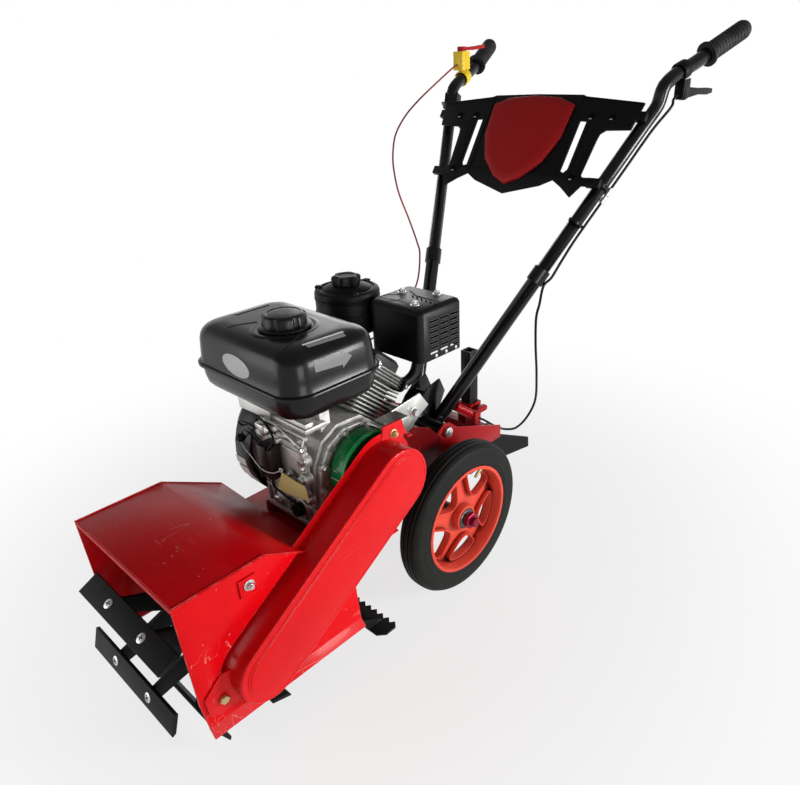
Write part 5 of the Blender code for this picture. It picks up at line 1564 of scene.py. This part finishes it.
@dataclass
class Breathing:
    """The air cleaner, the muffler with its guard, and the pipe."""

    cleaner: tuple = (-0.101, -0.023)
    lid: float = 0.5373
    radius: float = 0.06
    guard_top: float = 0.548

    def build(self) -> None:
        """Make every piece of the intake and exhaust."""
        reshape_all(Body.MACHINE, ("air_cleaner", PLASTIC, 0.0008), ("muffler_guard", HEAT_BLACK, 0.0),
                    ("muffler", HEAT_BLACK, 0.0))
        self.cleaner_lid()
        self.guard_slots()
        self.guard_details()
        self.flange()

    def cleaner_lid(self) -> None:
        """The lid with its stepped rim, clips and lobed knob, and the band below it."""
        r = self.radius
        base = stand(*self.cleaner, self.lid)
        lid = Form().lathe(base, [
            (0.0, 0.0), (r - 0.001, 0.0), (r, 0.001), (r, 0.0035), (r - 0.0016, 0.0042), (r - 0.0016, 0.0058),
            (r - 0.0004, 0.0064), (r - 0.0004, 0.011), (r - 0.002, 0.015), (r - 0.006, 0.0176),
            (r - 0.0095, 0.018), (r - 0.011, 0.016), (r - 0.015, 0.016), (r - 0.017, 0.0184),
            (0.033, 0.0222), (0.03, 0.0236), (0.0, 0.0236)], 80)
        for turn in (35, 155, 275):
            lid.block((0.047, -0.006, 0.015), (0.0588, 0.006, 0.02), 0.0014, base @ turned(turn))
        lid.piece("fine_cleaner_lid", PLASTIC, smooth=32, node="air_cleaner_lid")
        levels = ((0.0225, 0.0, 0.001), (0.024, 0.001, 0.0026), (0.0246, 0.012, 0.0026), (0.0232, 0.015, 0.0022),
                  (0.0195, 0.0165, 0.001), (0.015, 0.016, 0.0), (0.0135, 0.0148, 0.0), (0.008, 0.0148, 0.0))
        knob = Form().loft([ring(at(*self.cleaner, self.lid + 0.024 + rise), 144,
                                 lambda turn: reach + wave * math.cos(6 * turn)) for reach, rise, wave in levels])
        knob.piece("fine_lid_knob", PLASTIC, Body.KNOB, smooth=30, node="lid_knob")
        band = Form().lathe(stand(*self.cleaner, 0.512), [(r - 0.0016, 0.0), (r - 0.0004, 0.0006),
                                                          (r - 0.0004, 0.0044), (r - 0.0016, 0.005)], 80)
        band.piece("cleaner_band", PLASTIC, smooth=40)

    @staticmethod
    def guard_slots() -> None:
        """The worn lips of the slots in the guard's side."""
        lips = Form()
        for column in range(3):
            for row in range(7):
                y, z = -0.01 + 0.026 * column, 0.465 + 0.0095 * row
                for lift, radius in ((-0.0004, 0.0007), (0.0044, 0.0005)):
                    lips.tube([at(0.0899, y, z + lift), at(0.0899, y + 0.02, z + lift)], radius, 2)
        lips.piece("guard_slot_lips", WORN_LIP)

    def guard_details(self) -> None:
        """The bolts, the slit openings drawn as dark strips of painted shade and the pressed ridges on the guard's
        top, and the rivets on its side.
        """
        bolts, slit_shade, ridge, rivets = Form(), Form(), Form(), Form()
        for x, y in ((-0.0133, 0.0308), (0.0455, 0.0591), (0.0566, -0.0096)):
            bolts.bolt(at(x, y, self.guard_top - 0.0002), UP, 0.0098, 0.0052, washer=0.0085, stub=0.0018, spin=900 * x)
        for k in range(6):
            place = stand(0.0215 + 0.0118 * k, 0.0225 - 0.0016 * k, self.guard_top - 0.0004, spin=-42)
            slit_shade.block((-0.007, -0.0014, 0.0), (0.007, 0.0014, 0.0007), 0.0002, place)
        for radius, deep, line in ((0.0014, 0.0004, ((-0.008, 0.046), (0.024, 0.03), (0.079, 0.0285))),
                                   (0.0013, 0.0006, ((-0.026, -0.016), (0.024, -0.008), (0.074, -0.022)))):
            ridge.tube([at(x, y, self.guard_top - deep - sunk) for (x, y), sunk in zip(line, (0.0002, 0.0, 0.0002))],
                       radius)
        ridge.lathe(stand(-0.006, -0.004, self.guard_top - 0.0003), [(0.022, 0.0), (0.02, 0.0008), (0.019, 0.0004)])
        for y in (0.004, 0.03, 0.056):
            rivets.lathe(stand(0.0898, y, 0.46, RIGHT), [(0.0034, 0.0), (0.003, 0.0012), (0.0, 0.0018)], 20)
        bolts.piece("guard_bolts", ZINC)
        slit_shade.piece("guard_slit_shade", HOLE_SHADE)
        ridge.piece("guard_ridges", HEAT_BLACK)
        rivets.piece("guard_rivets", ZINC)

    @staticmethod
    def flange() -> None:
        """The pipe's flange on the cylinder with its two nuts, and the nut at the tank's corner."""
        normal = Vector((0, 0.766, -0.643))
        middle, plate_thick = at(0.03, -0.0436, 0.4094), 0.0046
        plate = Form().slab(seat(middle, normal), rounded(0.026, 0.0135, 0.01), plate_thick, 0.001)
        plate.piece("exhaust_flange", FORGED)
        nuts = Form()
        for side in (-1, 1):
            spot = middle + normal * plate_thick + Vector((side * 0.0185, 0, 0))
            nuts.bolt(spot, normal, 0.0105, 0.006, washer=0.0075, stub=0.005)
        nuts.bolt(at(0.106, -0.15, 0.4975), (0.4, 0.3, 1), 0.0105, 0.006, washer=0.008, stub=0.003)
        nuts.piece("exhaust_nuts", ZINC)


@dataclass
class Wheel:
    """One wheel: its tyre, its rim with five openings between curved arms, and its bearing."""

    tag: str
    body: Body
    side: int
    middle: float = 0.1435
    radius: float = 0.15
    rim: float = 0.1066
    openings: int = 5
    first_opening: float = 126.0

    def build(self) -> None:
        """Make every piece of the wheel."""
        self.base = stand(self.side * self.middle, 0, self.radius, (self.side, 0, 0))
        self.tyre()
        self.barrel()
        self.arms()

    def tyre(self) -> None:
        """The tyre: grooved tread, stepped shoulders and ridged sidewalls."""
        big, seat_r = self.radius, self.rim + 0.0003
        half = [(seat_r, 0.021), (0.109, 0.0216), (0.1104, 0.0221), (0.1118, 0.0217), (0.115, 0.0216),
                (0.1165, 0.0221), (0.118, 0.0221), (0.1195, 0.0217), (0.129, 0.0217), (0.1345, 0.0213),
                (0.1375, 0.0207), (0.1384, 0.02), (0.1392, 0.0204), (0.1412, 0.0196), (0.142, 0.0187),
                (0.143, 0.0189), (0.1455, 0.0164), (0.1468, 0.0144), (0.147, 0.0128), (big - 0.003, 0.0124),
                (big - 0.003, 0.0104), (big - 0.0008, 0.0099), (big - 0.0004, 0.006), (big - 0.0026, 0.0056),
                (big - 0.0026, 0.0036), (big - 0.0002, 0.0032)]
        profile = half + [(r, -x) for r, x in reversed(half)]
        form = Form().lathe(self.base, profile + [profile[0]], 96)
        form.piece("fine_tyre_" + self.tag, TYRE, self.body, smooth=30, node="tyre_" + self.tag)

    def barrel(self) -> None:
        """The rim's dished barrel and lips, and the valve on it."""
        r = self.rim
        profile = [(r, 0.0218), (r - 0.0008, 0.0225), (r - 0.006, 0.0225), (r - 0.0068, 0.0216), (r - 0.0078, 0.019),
                   (r - 0.0098, 0.012), (r - 0.0108, 0.004), (r - 0.011, -0.008), (r - 0.0098, -0.015),
                   (r - 0.006, -0.0196), (r - 0.004, -0.02), (r - 0.0004, -0.02), (r, -0.0194), (r, 0.0218)]
        form = Form().lathe(self.base, profile, 96)
        form.lathe(self.base, [(0.0, -0.012), (0.025, -0.012), (0.026, -0.011), (0.0262, 0.01), (0.025, 0.0146),
                               (0.0236, 0.0158), (0.0205, 0.016), (0.0196, 0.015), (0.019, 0.011), (0.0, 0.011)], 64)
        self.add_arms(form)
        form.piece("fine_rim_" + self.tag, RIM, self.body, smooth=32, node="rim_" + self.tag)
        turn = self.base @ turned(self.side * 54.0)
        stem = turn @ Matrix.Translation((self.rim - 0.0105, 0, 0.004))
        valve = Form().drum(stem @ turned(-100, "Y"), 0.003, 0.02, 0.0005, 18)
        valve.drum(stem @ turned(-100, "Y"), 0.0048, 0.005, 0.0008, 18)
        valve.piece("valve_" + self.tag, BRASS, self.body, slot=Slot.RIM)

    def opening(self, number: int, grow: float = 0.0) -> list[Vector]:
        """The outline of one opening between two arms, in the wheel's own plane.

        Args:
            number: Its number, from 0.
            grow: The margin outside it.

        Returns:
            The outline's points as (x, y).
        """
        half = ((0.045, 0.0), (0.0462, 7.0), (0.0515, 14.0), (0.062, 19.5), (0.074, 23.0), (0.084, 24.5),
                (0.0905, 22.0), (0.093, 16.0), (0.0938, 8.0))
        knots = [turned(angle) @ Vector((far, 0, 0))
                 for far, angle in (*half, (0.0939, 0.0), *((r, -a) for r, a in reversed(half[1:])))]
        middle = Vector((0.072, 0, 0))
        turn = turned(self.first_opening + 360.0 / self.openings * number)
        return [(turn @ (p + (p - middle).normalized() * grow)).xy for p in smooth_run(knots + knots[:1], 54)[:-1]]

    @staticmethod
    def rise(far: float, lift: float) -> float:
        """The web's height over the wheel's middle plane at a distance from the hub."""
        return 0.0085 - 0.0115 * (far - 0.026) / 0.071 + lift

    def add_arms(self, form: "Form") -> None:
        """The dished web with its five openings.

        Args:
            form: The form that the web is added to.
        """
        part = bmesh.new()
        for loop in [circle(0.0968, 120)] + [self.opening(k) for k in range(self.openings)]:
            verts = [part.verts.new((x, y, 0.0)) for x, y in loop]
            for pair in zip(verts, verts[1:] + verts[:1]):
                part.edges.new(pair)
        bmesh.ops.triangle_fill(part, use_beauty=True, edges=part.edges[:])
        grown = bmesh.ops.extrude_face_region(part, geom=part.faces[:])
        risen = {v for v in grown["geom"] if isinstance(v, bmesh.types.BMVert)}
        for vert in part.verts:
            vert.co.z = self.rise(math.hypot(vert.co.x, vert.co.y), -0.005 if vert in risen else -0.009)
        bmesh.ops.recalc_face_normals(part, faces=part.faces)
        form.take(part, self.base)

    def arms(self) -> None:
        """The thin walls along the arms' edges, the bearing and its dust ring."""
        walls = Form()
        section = ((-0.0003, -0.009), (-0.0003, 0.0054), (0.0002, 0.0062), (0.001, 0.0065), (0.0018, 0.0062),
                   (0.0023, 0.0052), (0.0034, -0.0054), (-0.0003, -0.009))
        for number in range(self.openings):
            walls.loft([[self.base @ Vector((x, y, self.rise(math.hypot(x, y), lift)))
                         for x, y in self.opening(number, grow)] for grow, lift in section], False)
        walls.piece("arm_walls_" + self.tag, RIM, self.body, smooth=60)
        bearing = Form().lathe(self.base, [(0.011, 0.0112), (0.011, 0.015), (0.0135, 0.0156), (0.015, 0.0142),
                                           (0.0165, 0.0142), (0.0175, 0.0154), (0.0188, 0.0154), (0.019, 0.0112)], 48)
        bearing.piece("bearing_" + self.tag, DARK_STEEL, self.body, slot=Slot.RIM, smooth=40)


@dataclass
class Handlebar:
    """The handlebar: yoke, tubes, grips, console and levers."""

    flange: tuple = (0.263, 0.554, 0.906)
    tip: tuple = (0.288, 0.634, 0.943)
    grip_r: float = 0.0175
    plate_at: tuple = (0.0, 0.3926, 0.8087)
    plate_up: tuple = (0.0, 0.5692, 0.8222)
    plate_out: tuple = (0.0, -0.8222, 0.5692)

    def build(self) -> None:
        """Make every piece of the handlebar."""
        reshape("handle_yoke", BLACK, 0.0008, Body.HANDLEBAR)
        for tag, side in (("r", 1), ("l", -1)):
            reshape("handle_" + tag, BLACK, 0.0, Body.HANDLEBAR)
            self.grip(tag, side)
        reshape_all(Body.HANDLEBAR, ("console", PLASTIC, 0.0008), ("badge", RED_PLASTIC, 0.0015, 3),
                    ("lever_bracket", PLASTIC, 0.0006), ("throttle_body", YELLOW, 0.0012))
        reshape("clutch_lever", PLASTIC, 0.0016, Body.CLUTCH, 3)
        reshape("throttle_lever", RED_PLASTIC, 0.001, Body.THROTTLE)
        self.console_details()
        self.clamps()

    def on_plate(self, u: float, v: float, n: float) -> Vector:
        """A point from its place on the console plate."""
        return at(*(Vector(self.plate_at) + Vector((u, 0, 0)) + Vector(self.plate_up) * v
                    + Vector(self.plate_out) * n))

    def grip(self, tag: str, side: int) -> None:
        """A grip with an end flange, ribs all round and a domed end.

        Args:
            tag: The end of its node's name.
            side: 1 for the right and -1 for the left.
        """
        foot, end = Vector(self.flange), Vector(self.tip)
        run = (end - foot).normalized()
        base = stand(side * foot.x, foot.y, foot.z, (side * run.x, run.y, run.z))
        r = self.grip_r
        profile = [(0.0132, 0.0), (r + 0.003, 0.0), (r + 0.004, 0.0012), (r + 0.004, 0.0048), (r + 0.0026, 0.006),
                   (r - 0.0008, 0.008)]
        for k in range(11):
            start = 0.0105 + 0.0078 * k
            profile += [(r - 0.0017, start), (r - 0.0006, start + 0.001), (r - 0.0006, start + 0.0054),
                        (r - 0.0017, start + 0.0064)]
        profile += [(r - 0.001, 0.097), (r - 0.0036, 0.103), (r - 0.008, 0.106), (0.0, 0.107)]
        form = Form().lathe(base, profile, 48)
        form.piece("fine_grip_" + tag, GRIP, Body.HANDLEBAR, smooth=32, node="grip_" + tag)

    def console_details(self) -> None:
        """The console's folded ribs, its bolt recesses drawn as dark discs of painted shade, and the bolts at the
        bottom of them.
        """
        ribs, recess_shade, bolts = Form(), Form(), Form()
        for side in (-1, 1):
            for u, v in ((0.176, 0.003), (0.134, 0.0035), (0.14, -0.114)):
                place = seat(self.on_plate(side * u, v, 0.0019), self.plate_out)
                recess_shade.lathe(place, [(0.0, 0.0004), (0.0066, 0.0004), (0.007, 0.0)], 28)
                ribs.lathe(place, [(0.007, 0.0), (0.0073, 0.0012), (0.0084, 0.0012), (0.0088, 0.0)], 28)
                bolts.slab(place @ Matrix.Translation((-0.0012, -0.003, 0.0005)), rounded(0.003, 0.0012, 0.0008, 3),
                           0.0004, 0.0001)
            for start, end, radius in (((0.1015, 0.046), (0.1005, -0.116), 0.0011),
                                       ((0.105, 0.0435), (0.224, 0.031), 0.0011),
                                       ((0.133, -0.005), (0.132, -0.106), 0.001)):
                ribs.tube([self.on_plate(side * u, v, 0.0022) for u, v in (start, end)], radius, 2)
        ribs.piece("console_ribs", PLASTIC, Body.HANDLEBAR)
        recess_shade.piece("console_recess_shade", HOLE_SHADE, Body.HANDLEBAR, slot=Slot.PLASTIC)
        bolts.piece("console_bolt_glints", ZINC, Body.HANDLEBAR, slot=Slot.PLASTIC)

    @staticmethod
    def clamps() -> None:
        """The clamps on the tubes and the cable's in-line adjuster."""
        dark, bright = Form(), Form()
        for side, z, wide, tall, steps in ((-1, 0.826, 0.0195, 0.026, 8), (1, 0.7, 0.015, 0.007, 28),
                                           (1, 0.64, 0.015, 0.005, 28), (-1, 0.7, 0.0148, 0.005, 28)):
            low, high = tube_middle(z, side), tube_middle(z + 0.01, side)
            dark.lathe(seat(low, high - low), [(0.0127, 0.0), (wide, 0.0), (wide, tall), (0.0127, tall)], steps)
        low, high = tube_middle(0.683, 1), tube_middle(0.712, 1)
        bright.lathe(seat(low + BESIDE_TUBE * 0.0175, high - low),
                     [(0.0026, 0.0), (0.0046, 0.001), (0.0046, 0.01), (0.0034, 0.011), (0.0034, 0.015),
                      (0.005, 0.016), (0.005, 0.023), (0.0034, 0.024), (0.0034, 0.031), (0.0026, 0.032)], 24)
        bright.bolt(tube_middle(0.833, -1) + Vector((-0.0185, -0.006, 0)), (-1, -0.4, 0), 0.008, 0.004)
        dark.piece("tube_clamps", BLACK, Body.HANDLEBAR)
        bright.piece("cable_adjuster", ZINC, Body.HANDLEBAR, slot=Slot.BLACK)


@dataclass
class Cords:
    """The clutch cable and the throttle cord."""

    lever: tuple = ((0.2523, 0.483, 0.844), (0.2523, 0.474, 0.8435), (0.2533, 0.462, 0.837), (0.256, 0.45, 0.826))
    along: tuple = ((0.8, 0.0175), (0.74, 0.0175), (0.68, 0.0175), (0.62, 0.0175), (0.585, 0.02), (0.56, 0.0222))
    loop: tuple = (
        (0.1432, 0.248, 0.534), (0.137, 0.247, 0.4983), (0.131, 0.247, 0.4683), (0.122, 0.2635, 0.4065),
        (0.112, 0.2876, 0.331), (0.1, 0.3059, 0.2626), (0.086, 0.2988, 0.2196), (0.073, 0.2784, 0.1971),
        (0.06, 0.2567, 0.1973), (0.049, 0.2356, 0.2092), (0.04, 0.2051, 0.2345), (0.034, 0.1824, 0.2502))
    wires: tuple = (
        (-0.2585, 0.481, 0.908), (-0.261, 0.465, 0.9), (-0.262, 0.4212, 0.8773), (-0.26, 0.357, 0.8446),
        (-0.256, 0.308, 0.8155), (-0.25, 0.2713, 0.7834), (-0.242, 0.2527, 0.75), (-0.233, 0.2436, 0.719),
        (-0.217, 0.2387, 0.6744), (-0.198, 0.2466, 0.6208), (-0.178, 0.2481, 0.5742), (-0.165, 0.2414, 0.5486),
        (-0.15, 0.212, 0.4956), (-0.14, 0.15, 0.45), (-0.13, 0.06, 0.425), (-0.13, -0.02, 0.418),
        (-0.129, -0.068, 0.433), (-0.115, -0.0815, 0.44), (-0.1004, -0.0815, 0.44))

    def build(self) -> None:
        cable = [at(*p) for p in self.lever] + [tube_middle(rise, 1) + BESIDE_TUBE * off for rise, off in self.along]
        cable += [at(*p) for p in self.loop]
        self.lay("clutch_cable", cable, 0.0025, GLOSS_PLASTIC, at(0.03, 0.2, 0.27), at(0.14, 0.25, 0.52))
        self.lay("throttle_cord", [at(*p) for p in self.wires], 0.0018, CORD_RED, at(-0.13, 0.0, 0.43),
                 at(-0.16, 0.24, 0.54))

    @staticmethod
    def lay(node: str, knots: Sequence[Vector], radius: float, finish: Finish, start: Vector, end: Vector) -> None:
        """Make one cord as a mesh tube, left in place in the frame.

        Args:
            node: The CAD node that it stands for.
            knots: The points of its route.
            radius: Its radius.
            finish: Its finish.
            start: Passed on to bent_piece, which does not use it.
            end: Passed on to bent_piece, which does not use it.
        """
        run = smooth_run(knots, 150)
        cord = Form().tube(run, radius).bent_piece(node + "_skin", finish, Body.HANDLEBAR, start, end, node)
        length = sum((b - a).length for a, b in zip(run, run[1:]))
        2 * radius
        LOG.info("%s is %.3f m long", cord.name, length)


@dataclass
class Studio:
    """The camera, the pale floor and the soft lights."""

    place: tuple = (0.80571, -0.81128, 0.89798)
    azimuth: float = 43.918
    pitch: float = 27.265
    roll: float = -2.288
    lens: float = 29.85
    shift: tuple = (-0.02427, 0.02641)
    lamps: tuple = (("key", (2.15, 1.15, 0.72), (0.1, -0.1, 0.32), 0.7, 50.0),
                    ("side", (2.3, -0.7, 0.65), (0.1, -0.1, 0.3), 1.0, 18.0),
                    ("fill", (-1.3, -2.1, 0.75), (0.0, -0.1, 0.35), 1.4, 15.0),
                    ("back", (-1.4, 1.6, 1.1), (0.0, 0.2, 0.45), 1.2, 8.0))

    def build(self) -> None:
        """Make everything that isn't the machine."""
        self.camera()
        self.floor()
        self.world()
        for lamp in self.lamps:
            self.lamp(*lamp)

    def camera(self) -> None:
        """Stand the camera where the photograph's stood."""
        a, e, roll = (math.radians(v) for v in (self.azimuth, self.pitch, self.roll))
        back = Vector((math.sin(a) * math.cos(e), -math.cos(a) * math.cos(e), math.sin(e)))
        right = Vector((math.cos(a), math.sin(a), 0.0))
        up = back.cross(right)
        turned_right = right * math.cos(roll) + up * math.sin(roll)
        turned_up = up * math.cos(roll) - right * math.sin(roll)
        turn = Matrix((turned_right, turned_up, back)).transposed().to_4x4()
        data = bpy.data.cameras.new("camera")
        data.lens, data.sensor_width, data.sensor_fit = self.lens, SENSOR_WIDTH, "HORIZONTAL"
        data.shift_x, data.shift_y = self.shift
        data.clip_start, data.clip_end = 0.01, 50.0
        obj = bpy.data.objects.new("camera", data)
        bpy.context.scene.collection.objects.link(obj)
        obj.matrix_world = Matrix.Translation(self.place) @ turn
        bpy.context.scene.camera = obj

    @staticmethod
    def floor() -> None:
        """A pale floor that keeps the machine's shadow and turns white away from it."""
        part = bmesh.new()
        bmesh.ops.create_grid(part, x_segments=1, y_segments=1, size=12.0)
        mesh = bpy.data.meshes.new("floor")
        part.to_mesh(mesh)
        part.free()
        obj = bpy.data.objects.new("floor", mesh)
        bpy.context.scene.collection.objects.link(obj)
        pale = bpy.data.materials.new("floor_pale")
        pale.use_nodes = True
        graph = Graph(pale.node_tree)
        graph.set(Base_Color=(0.84, 0.84, 0.83), Roughness=0.8)
        away = graph.node("ShaderNodeVectorMath", {"operation": "LENGTH"}, {0: graph.place}, "Value").step(0.35, 1.3)
        glow = graph.node("ShaderNodeEmission", None, {"Color": WHITE, "Strength": 1.0})
        blend = graph.node("ShaderNodeMixShader", None, {0: graph.seen() * (away * 0.28 + 0.72),
                                                         1: Value(graph, graph.shader.outputs[0]), 2: glow})
        graph.feed(graph.tree.nodes["Material Output"].inputs["Surface"], blend)
        mesh.materials.append(pale)
        obj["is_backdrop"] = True

    @staticmethod
    def world() -> None:
        """A dim room for its light; to the eye, in gloss and through glass, white walls and a grey ceiling."""
        room = bpy.data.worlds.new("room")
        bpy.context.scene.world = room
        room.use_nodes = True
        graph = Graph(room.node_tree)
        rise = graph.part(graph.node("ShaderNodeTexCoord", out="Generated"), "Z")
        dim, walls = (graph.node("ShaderNodeValToRGB", {"stops": stops}, {"Fac": rise}) for stops in (
            ((0.05, grey(0.31)), (0.8, (0.05, 0.05, 0.052))), ((0.22, WHITE), (0.55, grey(0.3)))))
        back = graph.tree.nodes["Background"]
        graph.feed(back.inputs["Color"], graph.mix(graph.seen(), dim, walls))
        graph.feed(back.inputs["Strength"], 1.0)

    @staticmethod
    def lamp(name: str, place: Point, target: Point, size: float, power: float) -> None:
        """One soft square lamp that looks at a point.

        Args:
            name: Its name.
            place: Where it hangs.
            target: The point that it looks at.
            size: Its side.
            power: Its power in watts.
        """
        data = bpy.data.lights.new(name, "AREA")
        data.size = size
        data.energy = power
        obj = bpy.data.objects.new(name, data)
        bpy.context.scene.collection.objects.link(obj)
        obj.location = place
        obj.rotation_mode = "QUATERNION"
        obj.rotation_quaternion = (Vector(target) - Vector(place)).to_track_quat("-Z", "Y")


def corners() -> list[list[float]]:
    """The shown object's lowest and highest corners as plain lists."""
    return [list(corner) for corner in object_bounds()]


def main() -> None:
    """Load the frame, dress it and light it."""
    logging.basicConfig(level=logging.INFO, format="%(message)s")
    FRAME.update(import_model())
    bpy.context.scene.view_settings.view_transform = "Standard"
    Studio().build()
    for assembly in (Cords(), Sheetwork(), Rotor(), ChainCase(), Chassis(), Engine(), Tank(), Breathing(),
                     Wheel("r", Body.WHEEL_R, 1), Wheel("l", Body.WHEEL_L, -1), Handlebar()):
        assembly.build()


if __name__ == "__main__":
    main()
